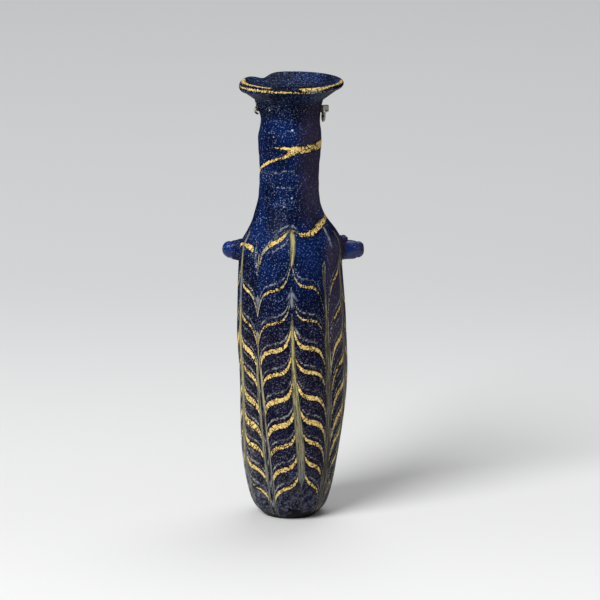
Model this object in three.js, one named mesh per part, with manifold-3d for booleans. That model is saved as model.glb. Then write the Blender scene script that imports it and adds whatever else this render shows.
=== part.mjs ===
import * as THREE from 'three';
import { mergeVertices } from 'three/addons/utils/BufferGeometryUtils.js';
import Module from 'manifold-3d';

// A small core-formed glass perfume flask with a disc rim and two lugs, and the wire on its neck.
// Millimetres, +Z up. The origin is the centre of the flat that the flask stands on,
// and its best side faces -Y. Angles are turned from that side towards +X, in degrees.

// Heights of the outer wall, each measured up from the one before
const FOOT_BEND_RISE = 2.9;
const FOOT_TOP_RISE = 3.8;
const LOWER_WALL_RISE = 15.3;
const BELLY_RISE = 32;
const UPPER_WALL_RISE = 24.5;
const SHOULDER_EDGE_RISE = 6.1;
const SHOULDER_BEND_RISE = 3.5;
const SHOULDER_SLOPE_RISE = 3.1;
const NECK_BEND_RISE = 3.1;
const NECK_FOOT_RISE = 3.6;
const NECK_WAIST_RISE = 8.7;
const NECK_SWELL_RISE = 9.9;
const NECK_TOP_RISE = 5.9;
const RIM_ROOT_RISE = 5.9;
const RIM_RISE = 5.7;

// Radii of the outer wall at those heights
const STANDING_RADIUS = 8;
const FOOT_BEND_RADIUS = 10.8;
const FOOT_TOP_RADIUS = 12.4;
const LOWER_WALL_RADIUS = 15;
const BELLY_RADIUS = 16.6;
const UPPER_WALL_RADIUS = 15.6;
const SHOULDER_EDGE_RADIUS = 15.2;
const SHOULDER_BEND_RADIUS = 13.4;
const SHOULDER_SLOPE_RADIUS = 11.5;
const NECK_BEND_RADIUS = 10.2;
const NECK_FOOT_RADIUS = 9.3;
const NECK_WAIST_RADIUS = 8.95;
const NECK_SWELL_RADIUS = 9.55;
const NECK_TOP_RADIUS = 8.9;
const RIM_ROOT_RADIUS = 10.2;
const RIM_RADIUS = 15.6;

// The rim is thicker on its left side, dished towards the mouth and chipped at the back left
const RIM_THICKNESS = 2;
const RIM_LEFT_SWELL = 1.3;
const DISH_DEPTH = 3;
const DISH_SHAPE = 0.7;
const LIP_ROUND = 0.7;
const CHIP_ANGLE = 217;
const CHIP_SPREAD = 17;
const CHIP_BITE = 1.7;
const CHIP_DROP = 1.1;

// The hollow
const BORE_RADIUS = 5.2;
const BODY_WALL = 3;
const BASE_THICKNESS = 4.5;

// How far the hand-turned axis wanders to the side and in depth, at the share of the height given
const WANDER_X = [[0, 0], [0.11, 0.05], [0.32, 1.15], [0.45, 0.55], [0.58, 0.2], [0.65, 0.7],
  [0.71, -0.25], [0.87, 0.05], [0.91, 0.25], [0.95, -0.15], [1, 0.6]];
const WANDER_Y = [[0, 0], [0.25, 0.3], [0.5, -0.2], [0.75, 0.25], [1, 0]];

// Furrows that the comb left down the body: where each starts at the shoulder and ends at the foot
const FURROWS = [
  { top: 1, foot: 15.5 },
  { top: 41, foot: 51 },
  { top: 74, foot: 84 },
  { top: 110, foot: 121 },
  { top: 146, foot: 158 },
  { top: 182, foot: 195 },
  { top: 218, foot: 231 },
  { top: 254, foot: 266 },
  { top: 290.5, foot: 305 },
  { top: 321, foot: 334 },
];
const FURROW_DEPTH = 0.35;
const FURROW_FADE = 6;
const TWIST_END = 10;
const TWIST_START = 48;

// The two lugs, fused to the shoulder a little behind the sides
const LUG_HEIGHT = 81.5;
const LUG_BACKSET = 10;
const LUG_DEPTH_SHARE = 0.8;
const LEFT_LUG = { side: -1, reach: 21.1, root: 6.3, end: 5.8, bluntness: 2.2 };
const RIGHT_LUG = { side: 1, reach: 22.4, root: 6, end: 5.6, bluntness: 3.5 };
const LUMP_RADIUS = 1.5;
const LUMP_RISE = 3.4;

// The wire round the back of the neck, with a hook on its left end and a folded tab on its right
const WIRE_RADIUS = 0.28;
const WIRE_DROP = 2.8;
const WIRE_CLEARANCE = 0.3;
const HOOK_ANGLE = 292;
const HOOK_RADIUS = 0.65;
const HOOK_START = 40;
const HOOK_END = 290;
const TAB_ANGLE = 90;
const TAB_FORWARD = 0.9;
const TAB_WIDTH = 2;
const TAB_HEIGHT = 2.3;
const TAB_THICKNESS = 0.9;
const TAIL_LENGTH = 3;
const TAIL_WIDTH = 0.75;

// How finely the curved surfaces are cut
const COLUMNS_PER_PANEL = 6;
const WALL_STEPS = 34;
const EDGE_STEPS = 4;
const DISH_STEPS = 4;
const INNER_STEPS = 15;
const LUG_SIDES = 14;
const LUG_STEPS = 7;
const WIRE_SIDES = 6;
const WIRE_STEPS = 84;

const wasm = await Module();
wasm.setup();

const radians = THREE.MathUtils.degToRad;
const { lerp, smoothstep } = THREE.MathUtils;

// Outer wall as a list of places, each a radius and the height that the rises add up to
const wallPlaces = [];
function place(rise, radius) {
  const below = wallPlaces.length > 0 ? wallPlaces[wallPlaces.length - 1].z : 0;
  wallPlaces.push(new THREE.Vector3(radius, 0, below + rise));
  return below + rise;
}
place(0, STANDING_RADIUS);
place(FOOT_BEND_RISE, FOOT_BEND_RADIUS);
const footTop = place(FOOT_TOP_RISE, FOOT_TOP_RADIUS);
const lowerWall = place(LOWER_WALL_RISE, LOWER_WALL_RADIUS);
const belly = place(BELLY_RISE, BELLY_RADIUS);
const upperWall = place(UPPER_WALL_RISE, UPPER_WALL_RADIUS);
const shoulderEdge = place(SHOULDER_EDGE_RISE, SHOULDER_EDGE_RADIUS);
place(SHOULDER_BEND_RISE, SHOULDER_BEND_RADIUS);
const shoulderTop = place(SHOULDER_SLOPE_RISE, SHOULDER_SLOPE_RADIUS);
place(NECK_BEND_RISE, NECK_BEND_RADIUS);
const neckFoot = place(NECK_FOOT_RISE, NECK_FOOT_RADIUS);
place(NECK_WAIST_RISE, NECK_WAIST_RADIUS);
place(NECK_SWELL_RISE, NECK_SWELL_RADIUS);
place(NECK_TOP_RISE, NECK_TOP_RADIUS);
const rimRoot = place(RIM_ROOT_RISE, RIM_ROOT_RADIUS);
const rimTop = rimRoot + RIM_RISE;
const wallCurve = new THREE.CatmullRomCurve3(wallPlaces, false, 'centripetal');

// Radius of the outer wall at a height, read from the curve by halving the interval
function wallRadius(height) {
  let low = 0;
  let high = 1;
  while (high - low > 1e-5) {
    const middle = (low + high) / 2;
    if (wallCurve.getPoint(middle).z < height) {
      low = middle;
    } else {
      high = middle;
    }
  }
  return wallCurve.getPoint(low).x;
}

// Value of a list of [share, value] pairs at a share, eased from each pair to the next
function easedValue(pairs, share) {
  let value = pairs[0][1];
  for (let i = 1; i < pairs.length; i += 1) {
    const [start, before] = pairs[i - 1];
    const [end, after] = pairs[i];
    if (share > start) {
      value = lerp(before, after, smoothstep(share, start, end));
    }
  }
  return value;
}

function axisShift(height) {
  const share = height / rimTop;
  return new THREE.Vector2(easedValue(WANDER_X, share), easedValue(WANDER_Y, share));
}

// Point at a radius, height and angle, round the wandering axis
function pointAt(radius, height, angle) {
  const shift = axisShift(height);
  const turn = radians(angle);
  return new THREE.Vector3(shift.x + radius * Math.sin(turn), shift.y - radius * Math.cos(turn), height);
}

// Where the columns of the grid stand at a height: each furrow is a column, with panels between
function columnsAt(height) {
  const down = 1 - smoothstep(height, TWIST_END, TWIST_START);
  const columns = [];
  FURROWS.forEach((furrow, i) => {
    const next = FURROWS[(i + 1) % FURROWS.length];
    const lap = i + 1 === FURROWS.length ? 360 : 0;
    const start = lerp(furrow.top, furrow.foot, down);
    const end = lerp(next.top, next.foot, down) + lap;
    for (let step = 0; step < COLUMNS_PER_PANEL; step += 1) {
      const across = step / COLUMNS_PER_PANEL;
      columns.push({ angle: lerp(start, end, across), across });
    }
  });
  return columns;
}

// Furrows are deepest on the columns that they follow and fade out at the foot and the shoulder
function furrowAt(height, across) {
  const fade = Math.min(smoothstep(height, 0, footTop + FURROW_FADE / 2),
    1 - smoothstep(height, shoulderEdge - FURROW_FADE / 2, shoulderEdge + FURROW_FADE));
  return FURROW_DEPTH * fade * (1 - Math.sin(Math.PI * across)) ** 2;
}

// Shares from 0 to 1: how near an angle is to the rim's thick left side, and to its chip
function leftShare(angle) {
  return Math.max(0, -Math.sin(radians(angle))) ** 2;
}

function chipShare(angle) {
  const away = THREE.MathUtils.euclideanModulo(angle - CHIP_ANGLE + 180, 360) - 180;
  return Math.exp(-((away / CHIP_SPREAD) ** 2));
}

// Radii and heights across the rim at one angle, from its underside over the edge to the mouth
function rimSection(angle) {
  const chip = chipShare(angle);
  const half = (RIM_THICKNESS + RIM_LEFT_SWELL * leftShare(angle)) / 2;
  const top = rimTop - CHIP_DROP * chip;
  const edge = RIM_RADIUS - CHIP_BITE * chip - half;
  const section = [];
  for (let step = 0; step <= EDGE_STEPS; step += 1) {
    const turn = Math.PI * (step / EDGE_STEPS - 0.5);
    section.push([edge + half * Math.cos(turn), top - half + half * Math.sin(turn)]);
  }
  const mouth = BORE_RADIUS + LIP_ROUND;
  for (let step = 1; step <= DISH_STEPS; step += 1) {
    const inward = step / DISH_STEPS;
    const drop = (top - rimTop + DISH_DEPTH) * inward ** DISH_SHAPE;
    section.push([lerp(edge, mouth, inward), top - drop]);
  }
  return section;
}

// Closed surface over a stack of rings of points, ended by a point at each end
function closedSurface(start, rings, end) {
  const count = rings[0].length;
  const points = [start, ...rings.flat(), end];
  const faces = [];
  const corner = (ring, column) => 1 + ring * count + (column % count);
  for (let column = 0; column < count; column += 1) {
    faces.push(0, corner(0, column + 1), corner(0, column));
    faces.push(points.length - 1, corner(rings.length - 1, column), corner(rings.length - 1, column + 1));
    for (let ring = 1; ring < rings.length; ring += 1) {
      const lower = corner(ring - 1, column);
      const lowerNext = corner(ring - 1, column + 1);
      const upper = corner(ring, column);
      const upperNext = corner(ring, column + 1);
      faces.push(lower, lowerNext, upperNext, lower, upperNext, upper);
    }
  }
  const geometry = new THREE.BufferGeometry().setFromPoints(points);
  geometry.setIndex(faces);
  return geometry;
}

function toSolid(geometry) {
  const bare = geometry.clone();
  bare.deleteAttribute('normal');
  bare.deleteAttribute('uv');
  const merged = mergeVertices(bare, 1e-5);
  return new wasm.Manifold(new wasm.Mesh({
    numProp: 3,
    vertProperties: new Float32Array(merged.getAttribute('position').array),
    triVerts: new Uint32Array(merged.getIndex().array),
  }));
}

function toGeometry(solid) {
  const mesh = solid.getMesh();
  const geometry = new THREE.BufferGeometry();
  geometry.setAttribute('position', new THREE.BufferAttribute(new Float32Array(mesh.vertProperties), 3));
  geometry.setIndex(new THREE.BufferAttribute(new Uint32Array(mesh.triVerts), 1));
  geometry.computeVertexNormals();
  return geometry;
}

// Radii and heights of the hollow, from the mouth down to its floor
function hollowSection() {
  const places = [
    [BORE_RADIUS, rimTop - DISH_DEPTH - LIP_ROUND],
    [BORE_RADIUS, rimRoot - NECK_TOP_RISE],
    [BORE_RADIUS, neckFoot + BODY_WALL],
    [lerp(BORE_RADIUS, SHOULDER_SLOPE_RADIUS - BODY_WALL, 0.6), shoulderTop - BODY_WALL / 2],
    [SHOULDER_EDGE_RADIUS - BODY_WALL, shoulderEdge - BODY_WALL],
    [UPPER_WALL_RADIUS - BODY_WALL, upperWall - BODY_WALL],
    [BELLY_RADIUS - BODY_WALL, belly],
    [LOWER_WALL_RADIUS - BODY_WALL, lowerWall],
    [FOOT_TOP_RADIUS - BODY_WALL, footTop + BASE_THICKNESS / 2],
    [STANDING_RADIUS - BODY_WALL, BASE_THICKNESS],
  ];
  const curve = new THREE.CatmullRomCurve3(
    places.map(([radius, height]) => new THREE.Vector3(radius, 0, height)), false, 'centripetal');
  return curve.getPoints(INNER_STEPS).map((point) => [point.x, point.z]);
}

function vesselSolid() {
  const rings = [];
  for (const { x, z } of wallCurve.getSpacedPoints(WALL_STEPS)) {
    rings.push(columnsAt(z).map(({ angle, across }) => pointAt(x - furrowAt(z, across), z, angle)));
  }
  const rimColumns = columnsAt(rimTop).map(({ angle }) => angle);
  const sections = rimColumns.map(rimSection);
  for (let step = 0; step < sections[0].length; step += 1) {
    rings.push(rimColumns.map((angle, column) => pointAt(...sections[column][step], angle)));
  }
  for (const [radius, height] of hollowSection()) {
    rings.push(columnsAt(height).map(({ angle }) => pointAt(radius, height, angle)));
  }
  return toSolid(closedSurface(pointAt(0, 0, 0), rings, pointAt(0, BASE_THICKNESS, 0)));
}

// A lug is a stub with an oval section, from the middle of the wall out to a rounded tip
function lugSolid({ side, reach, root, end, bluntness }) {
  const start = wallRadius(LUG_HEIGHT) - BODY_WALL / 2;
  const shift = axisShift(LUG_HEIGHT);
  const rings = [];
  for (let step = 0; step <= LUG_STEPS; step += 1) {
    const along = Math.sin((Math.PI / 2) * (step / (LUG_STEPS + 1)));
    const half = (lerp(root, end, along) / 2) * (1 - along ** bluntness) ** (1 / bluntness);
    const ring = [];
    for (let corner = 0; corner < LUG_SIDES; corner += 1) {
      const turn = (2 * Math.PI * corner) / LUG_SIDES;
      ring.push(new THREE.Vector3(lerp(start, reach, along),
        half * LUG_DEPTH_SHARE * Math.cos(turn), half * Math.sin(turn)));
    }
    rings.push(ring);
  }
  const geometry = closedSurface(new THREE.Vector3(start, 0, 0), rings, new THREE.Vector3(reach, 0, 0));
  const yaw = side > 0 ? LUG_BACKSET : 180 - LUG_BACKSET;
  geometry.rotateZ(radians(yaw));
  geometry.translate(shift.x, shift.y, LUG_HEIGHT);
  return toSolid(geometry);
}

// Small folded lump of glass above the right lug's root
function lumpSolid() {
  const height = LUG_HEIGHT + LUMP_RISE;
  const geometry = new THREE.SphereGeometry(LUMP_RADIUS, 10, 7);
  geometry.scale(1, LUG_DEPTH_SHARE, 1 / (1 + LUG_DEPTH_SHARE / 2));
  const centre = pointAt(wallRadius(height) + LUMP_RADIUS / 4, height, 90 + LUG_BACKSET);
  geometry.translate(centre.x, centre.y, centre.z);
  return toSolid(geometry);
}

function flaskGeometry() {
  const lugs = lugSolid(LEFT_LUG).add(lugSolid(RIGHT_LUG));
  return toGeometry(vesselSolid().add(lugs).add(lumpSolid()));
}

// Where the wire lies on the neck, and the corner of its tab that is nearest to the neck
const wireHeight = rimRoot - WIRE_DROP;
const wireOffset = wallRadius(wireHeight) + WIRE_CLEARANCE + WIRE_RADIUS;

function tabCorner() {
  const corner = pointAt(wallRadius(wireHeight) + WIRE_CLEARANCE, wireHeight, TAB_ANGLE);
  return corner.add(new THREE.Vector3(0, -TAB_FORWARD, 0));
}

// The wire's centre line: a hook, round the back of the neck to the tab, and a narrow loop below it
function wirePath() {
  const points = [];
  const hookEnd = pointAt(wireOffset, wireHeight, HOOK_ANGLE);
  const hookSteps = 8;
  for (let step = 0; step <= hookSteps; step += 1) {
    const turn = radians(lerp(HOOK_END, HOOK_START, step / hookSteps));
    points.push(new THREE.Vector3(hookEnd.x + HOOK_RADIUS * (Math.cos(turn) - 0.5),
      hookEnd.y - HOOK_RADIUS * 0.7, wireHeight + HOOK_RADIUS * Math.sin(turn)));
  }
  const arcSteps = 14;
  for (let step = 0; step <= arcSteps; step += 1) {
    points.push(pointAt(wireOffset, wireHeight, lerp(HOOK_ANGLE, TAB_ANGLE, step / arcSteps)));
  }
  const inner = tabCorner().add(new THREE.Vector3(WIRE_RADIUS * 1.5, 0, -TAB_HEIGHT / 2));
  const loop = [[TAIL_WIDTH, TAB_HEIGHT / 2], [TAIL_WIDTH, 0], [TAIL_WIDTH, -TAIL_LENGTH * 0.4],
    [TAIL_WIDTH * 0.6, -TAIL_LENGTH], [TAIL_WIDTH * 0.1, -TAIL_LENGTH * 0.7], [0, -TAIL_LENGTH * 0.2]];
  for (const [out, up] of loop) {
    points.push(new THREE.Vector3(inner.x + out, inner.y, inner.z + up));
  }
  return new THREE.CatmullRomCurve3(points, false, 'centripetal');
}

function neckWireGeometry() {
  const section = new THREE.Shape();
  for (let corner = 0; corner < WIRE_SIDES; corner += 1) {
    const turn = (2 * Math.PI * corner) / WIRE_SIDES;
    const spot = new THREE.Vector2(WIRE_RADIUS * Math.cos(turn), WIRE_RADIUS * Math.sin(turn));
    if (corner === 0) {
      section.moveTo(spot.x, spot.y);
    } else {
      section.lineTo(spot.x, spot.y);
    }
  }
  section.closePath();
  const wire = new THREE.ExtrudeGeometry(section, { steps: WIRE_STEPS, extrudePath: wirePath() });
  const corner = tabCorner();
  const tab = new THREE.BoxGeometry(TAB_WIDTH, TAB_THICKNESS, TAB_HEIGHT);
  tab.translate(corner.x + TAB_WIDTH / 2, corner.y, corner.z);
  return toGeometry(toSolid(wire).add(toSolid(tab)));
}

const glass = new THREE.MeshStandardMaterial({ color: 0x1a2b66, roughness: 0.25, metalness: 0 });
const dullMetal = new THREE.MeshStandardMaterial({ color: 0x8f8a80, roughness: 0.45, metalness: 0.9 });

function piece(name, geometry, material) {
  const mesh = new THREE.Mesh(geometry, material);
  mesh.name = name;
  return mesh;
}

const perfumeFlask = new THREE.Group();
perfumeFlask.add(piece('flask', flaskGeometry(), glass));
perfumeFlask.add(piece('neck_wire', neckWireGeometry(), dullMetal));

export default perfumeFlask;
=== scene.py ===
# %% [markdown]
# # A combed glass perfume flask
#
# The object is a small flask of dark blue glass, shaped over a core of clay and sand.
# While it was hot, a thread of yellow glass was wound round it from the neck to the foot,
# and a hooked tool was drawn up and down the body, which pulled the thread into feathers.
# This lesson rebuilds its looks: the glass with its threads, the two lugs, and a wire on the neck.

import bpy
import numpy as np
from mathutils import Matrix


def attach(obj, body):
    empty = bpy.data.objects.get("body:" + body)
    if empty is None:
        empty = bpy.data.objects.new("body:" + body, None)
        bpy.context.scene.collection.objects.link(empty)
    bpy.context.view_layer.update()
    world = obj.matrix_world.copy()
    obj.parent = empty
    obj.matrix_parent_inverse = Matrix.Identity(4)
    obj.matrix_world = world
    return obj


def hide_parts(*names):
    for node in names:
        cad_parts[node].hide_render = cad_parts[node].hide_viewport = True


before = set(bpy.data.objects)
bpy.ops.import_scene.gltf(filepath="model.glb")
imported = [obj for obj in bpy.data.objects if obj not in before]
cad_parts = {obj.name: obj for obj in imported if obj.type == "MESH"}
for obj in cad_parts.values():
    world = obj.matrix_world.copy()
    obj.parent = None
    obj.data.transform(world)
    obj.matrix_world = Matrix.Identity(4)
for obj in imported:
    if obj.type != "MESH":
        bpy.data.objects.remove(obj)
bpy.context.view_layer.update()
MM = 0.001

# %% [markdown]
# ## The outline of the wall
#
# A flask like this is round, so its wall is a profile turned about an axis.
# A few measured places are enough, and a curve eased through them gives the rest.
# We use the centripetal Catmull-Rom curve, because it never overshoots between close places.

# %% Curve through places
def curve_through(places, count):
    """Centripetal Catmull-Rom curve: each span is the cubic from one place to the next whose end
    tangents come from the neighbours, weighed by the square roots of the distances between them."""
    places = np.asarray(places, float)
    before = 2 * places[0] - places[1]
    after = 2 * places[-1] - places[-2]
    padded = np.vstack([before, places, after])
    where = np.linspace(0, len(places) - 1, count)
    span = np.minimum(where.astype(int), len(places) - 2)
    share = (where - span)[:, None]
    p0, p1, p2, p3 = (padded[span + k] for k in range(4))
    gaps = [np.linalg.norm(b - a, axis=1)[:, None] for a, b in ((p0, p1), (p1, p2), (p2, p3))]
    d0, d1, d2 = (np.sqrt(gap) for gap in gaps)
    start = ((p1 - p0) / d0 - (p2 - p0) / (d0 + d1) + (p2 - p1) / d1) * d1
    end = ((p2 - p1) / d1 - (p3 - p1) / (d1 + d2) + (p3 - p2) / d2) * d1
    square = share ** 2
    cube = share ** 3
    return (p1 + start * share + (3 * (p2 - p1) - 2 * start - end) * square
            + (2 * (p1 - p2) + start + end) * cube)


def even_steps(path, count):
    """The path cut again into steps of one length, by interpolating over its running length."""
    length = np.concatenate([[0], np.cumsum(np.linalg.norm(np.diff(path, axis=0), axis=1))])
    at = np.linspace(0, length[-1], count)
    return np.stack([np.interp(at, length, path[:, k]) for k in range(path.shape[1])], axis=1)


# %% Outer wall, as radius and height in millimetres
WALL_PLACES = [(8, 0), (10.8, 2.9), (12.4, 6.7), (15, 22), (16.57, 54), (15.6, 78.5), (15.2, 84.6),
               (13.4, 88.1), (11.5, 91.2), (10.2, 94.3), (9.3, 97.9), (8.95, 106.6), (9.55, 116.5),
               (8.9, 122.4), (10.2, 128.3)]
WALL_ROWS = 206
FINE_STEPS = 3000
RIM_TOP = 134.0
RIM_RADIUS = 15.6

wall = even_steps(curve_through(WALL_PLACES, FINE_STEPS), WALL_ROWS)
print("wall rows:", len(wall), "from", wall[0], "to", wall[-1])


def smooth(value, low, high):
    """Eased step: 0 below low, 1 above high, and 3s^2 - 2s^3 of the share s between them."""
    share = np.clip((value - low) / (high - low), 0, 1)
    return share * share * (3 - 2 * share)


def eased(pairs, value):
    """Value of a list of (place, value) pairs, eased from each pair to the next."""
    result = np.full(np.shape(value), float(pairs[0][1]))
    for (start, before), (end, after) in zip(pairs, pairs[1:]):
        result = result + (after - before) * smooth(value, start, end)
    return result


# %% [markdown]
# ## The axis wanders
#
# Nothing shaped by hand over a core is quite straight. The middle of each ring drifts sideways
# by up to a millimetre. We keep that drift as two small lists over the height.

# %% Drift of the axis
WANDER_X = [(0, 0), (0.11, 0.05), (0.32, 1.15), (0.45, 0.55), (0.58, 0.2), (0.65, 0.7),
            (0.71, -0.25), (0.87, 0.05), (0.91, 0.25), (0.95, -0.15), (1, 0.6)]
WANDER_Y = [(0, 0), (0.25, 0.3), (0.5, -0.2), (0.75, 0.25), (1, 0)]


def around(radius, height, angle):
    """Points at a radius, height and angle in degrees: x = r sin a and y = -r cos a, plus the drift."""
    turn = np.radians(angle)
    share = height / RIM_TOP
    x = radius * np.sin(turn) + eased(WANDER_X, share)
    y = -radius * np.cos(turn) + eased(WANDER_Y, share)
    return np.stack(np.broadcast_arrays(x, y, height), axis=-1)


# %% [markdown]
# ## Lines of the comb
#
# The hooked tool was drawn over the body ten times, up and down in turn. We call an upward stroke
# a stem and a downward one a valley. They lean a little near the foot. The columns of our grid
# follow these strokes, so that the sharp tips of the pattern fall on a line of vertices.

# %% Strokes and columns
STROKES_TOP = np.array([1, 41, 74, 110, 146, 182, 218, 254, 288, 321])
STROKES_FOOT = np.array([15.5, 51, 84, 121, 158, 193, 226, 258, 291, 334])
COLUMNS_PER_PANEL = 36
CROWDING = 0.08
TWIST_END = 10
TWIST_START = 48


def strokes_at(height):
    """Angles of the ten strokes at each height, in degrees: the top ones eased into the foot ones."""
    down = 1 - smooth(np.asarray(height, float), TWIST_END, TWIST_START)
    return STROKES_TOP + (STROKES_FOOT - STROKES_TOP) * down[..., None]


def columns_at(height):
    """Angles of all columns at each height: each panel between two strokes is cut into steps
    that are shorter near the strokes, s - c sin(2 pi s) of the panel."""
    strokes = strokes_at(height)
    following = np.concatenate([strokes[..., 1:], strokes[..., :1] + 360], axis=-1)
    step = np.arange(COLUMNS_PER_PANEL) / COLUMNS_PER_PANEL
    step = step - CROWDING * np.sin(2 * np.pi * step)
    angles = strokes[..., None] + (following - strokes)[..., None] * step
    return angles.reshape(angles.shape[:-2] + (-1,))


COLUMNS = COLUMNS_PER_PANEL * len(STROKES_TOP)
print("columns:", COLUMNS)

# %% [markdown]
# ## Relief of the wall
#
# The tool left a shallow furrow along each stroke, and the wound threads left low ripples on
# the neck. Both are fractions of a millimetre, but they catch the light, so they go in the mesh.

# %% Distances from the strokes
def wrap(angle):
    """The same angle between -180 and 180 degrees."""
    return (angle + 180) % 360 - 180


def stroke_distances(radius, height, angle):
    """Signed distance in millimetres along the wall from each stroke: r times the angle between."""
    away = wrap(angle[..., None] - strokes_at(height))
    return np.asarray(radius)[..., None] * np.radians(away)


FURROW_DEPTH = 0.33
FURROW_HALF_WIDTH = 1.6
FURROW_FOOT = (0, 9.7)
FURROW_TOP = (81.6, 90.6)
RIPPLE_DEPTH = 0.035
RIPPLE_PITCH = 4.1
RIPPLE_START = (92, 99)
RIPPLE_END = (120, 126)


def relief(radius, height, angle):
    """How far the wall is pressed in: a bell over each stroke, and a spiral ripple on the neck."""
    distance = np.abs(stroke_distances(radius, height, angle)).min(axis=-1)
    fade = np.minimum(smooth(height, *FURROW_FOOT), 1 - smooth(height, *FURROW_TOP))
    furrow = FURROW_DEPTH * fade * np.exp(-(distance / FURROW_HALF_WIDTH) ** 2)
    on_neck = smooth(height, *RIPPLE_START) * (1 - smooth(height, *RIPPLE_END))
    ripple = RIPPLE_DEPTH * on_neck * (1 + np.sin(2 * np.pi * (height / RIPPLE_PITCH - angle / 360)))
    return furrow + ripple


wall_height = wall[:, 1][:, None] + np.zeros((1, COLUMNS))
wall_angle = columns_at(wall[:, 1])
wall_radius = wall[:, 0][:, None] + np.zeros((1, COLUMNS))
wall_surface = wall_radius - relief(wall_radius, wall_height, wall_angle)
wall_points = around(wall_surface, wall_height, wall_angle)
print("outer wall grid:", wall_points.shape)

# %% [markdown]
# ## The rim
#
# The rim is a disc that dips towards the mouth. Its left side is thicker, and a shallow chip
# is missing at the back left. Each column gets its own section: a round edge and a dish.

# %% Rim grid
RIM_THICKNESS = 2.0
RIM_LEFT_SWELL = 1.3
DISH_DEPTH = 3.0
DISH_SHAPE = 0.7
BORE_RADIUS = 5.2
LIP_ROUND = 0.7
CHIP_ANGLE = 221
CHIP_SPREAD = 14
CHIP_BITE = 1.7
CHIP_DROP = 1.1
WAVE_DEPTH = 0.12
WAVE_LENGTHS = 9
EDGE_ROWS = 14
DISH_ROWS = 16

rim_angle = columns_at(np.array(RIM_TOP))
left_share = np.maximum(0, -np.sin(np.radians(rim_angle))) ** 2
chip = np.exp(-(wrap(rim_angle - CHIP_ANGLE) / CHIP_SPREAD) ** 2)
rim_half = (RIM_THICKNESS + RIM_LEFT_SWELL * left_share) / 2
rim_top = RIM_TOP - CHIP_DROP * chip
rim_edge = RIM_RADIUS - CHIP_BITE * chip - rim_half
turn = np.pi * (np.linspace(0, 1, EDGE_ROWS) - 0.5)[:, None]
edge_radius = rim_edge + rim_half * np.cos(turn)
edge_height = rim_top - rim_half + rim_half * np.sin(turn)
inward = np.linspace(0, 1, DISH_ROWS + 1)[1:, None]
dish_radius = rim_edge + (BORE_RADIUS + LIP_ROUND - rim_edge) * inward
dish_drop = (rim_top - RIM_TOP + DISH_DEPTH) * inward ** DISH_SHAPE
dish_wave = np.sin(inward * WAVE_LENGTHS + np.radians(rim_angle) * 2) * np.sin(np.pi * inward)
dish_height = rim_top - dish_drop - np.abs(WAVE_DEPTH * dish_wave)
rim_points = np.concatenate([around(edge_radius, edge_height, rim_angle),
                             around(dish_radius, dish_height, rim_angle)])
print("rim grid:", rim_points.shape)

# %% [markdown]
# ## The hollow
#
# The core was scraped out after the glass had cooled, which left a narrow bore and a slim
# hollow. It can't be seen from outside, but the mesh goes down there, so that the wall is real.

# %% Hollow grid and foot grid
HOLLOW_PLACES = [(5.2, 130.3), (5.2, 122.4), (5.2, 100.9), (7.18, 89.7), (12.2, 81.6), (12.6, 75.5),
                 (13.6, 54), (12, 22), (9.4, 8.95), (5, 4.5)]
HOLLOW_ROWS = 22
HOLLOW_FINE = 600
BASE_THICKNESS = 4.5
FOOT_RADII = np.array([1.5, 3, 4.5, 6, 7.2])

hollow = even_steps(curve_through(HOLLOW_PLACES, HOLLOW_FINE), HOLLOW_ROWS)
hollow_points = around(hollow[:, 0][:, None], hollow[:, 1][:, None], columns_at(hollow[:, 1]))
foot_points = around(FOOT_RADII[:, None], np.zeros((len(FOOT_RADII), 1)),
                     columns_at(np.zeros(len(FOOT_RADII))))
vessel_rows = np.concatenate([foot_points, wall_points, rim_points, hollow_points])
print("vessel rows:", len(vessel_rows), "triangles about:", 2 * COLUMNS * len(vessel_rows))

# %% [markdown]
# ## Where the thread of yellow glass runs
#
# The thread was wound as one long screw from the neck down. Unroll the flask: before combing, the
# thread is a set of slanting lines, and its height falls as the number of turns grows.
# We keep that height as a list over the turns. A point's own turn number, read backwards from
# its height, tells how far it is from the nearest pass of the thread.

# %% Height of the thread over its turns
THREAD_TURNS = [-2.2, -1.25, -1.1, -1.03, -0.97, -0.9, -0.83, -0.78, -0.5, -0.22, -0.16, -0.06, 0,
                0.055, 0.16, 1, 2, 3, 4, 5, 6, 7, 8, 9, 10]
THREAD_HEIGHTS = [123, 114.6, 114.2, 113.6, 112.2, 110.8, 108.7, 107, 99.8, 92.7, 91.8, 89, 88.2,
                  87.5, 85, 73.5, 63.5, 55, 47.5, 39.4, 31.4, 24.8, 17.5, 11, 4]
THICKNESS_TURNS = [-1.33, -1.28, -1.15, -1.0, -0.9, -0.7, -0.25, -0.2, -0.03, 0.05, 0.3, 0.9, 1.9,
                   2.3, 2.7, 3.3, 3.7, 4.3, 4.7, 5.3, 6.3, 6.8, 7.3, 7.8, 8.1, 8.9, 9.1, 9.4, 9.6]
THICKNESS = [-2, 0.6, 1.1, 0.9, 0.7, 0.5, 0.6, 1.3, 1.15, 1.15, 0.9, 0.7, 0.65, 0.65, 1.1,
             1.35, 1.1, 1.0, 1.3, 1.5, 1.6, 1.3, 0.95, 1.1, 1.3, 1.1, 1.0, 0.4, -2]
SIDE_SWELL = [(-180, 1.2), (-70, 1.35), (-44, 1.35), (-34, 1), (40, 1), (48, 1.05), (60, 1.3),
              (75, 1.4), (180, 1.2)]
LEG_SWELL = 0.9


def turns_of(height):
    """Turn number whose pass lies at this height, by interpolating the list backwards."""
    return np.interp(-height, -np.array(THREAD_HEIGHTS), THREAD_TURNS)


# %% [markdown]
# ## How the comb bent it
#
# Under each stroke the hot glass was pulled along with the tool, most at its middle and
# less and less away from it. So a point shows the glass that started a little lower or higher:
# we subtract the pull, which dies away exponentially, and ask the unbent thread.

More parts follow.
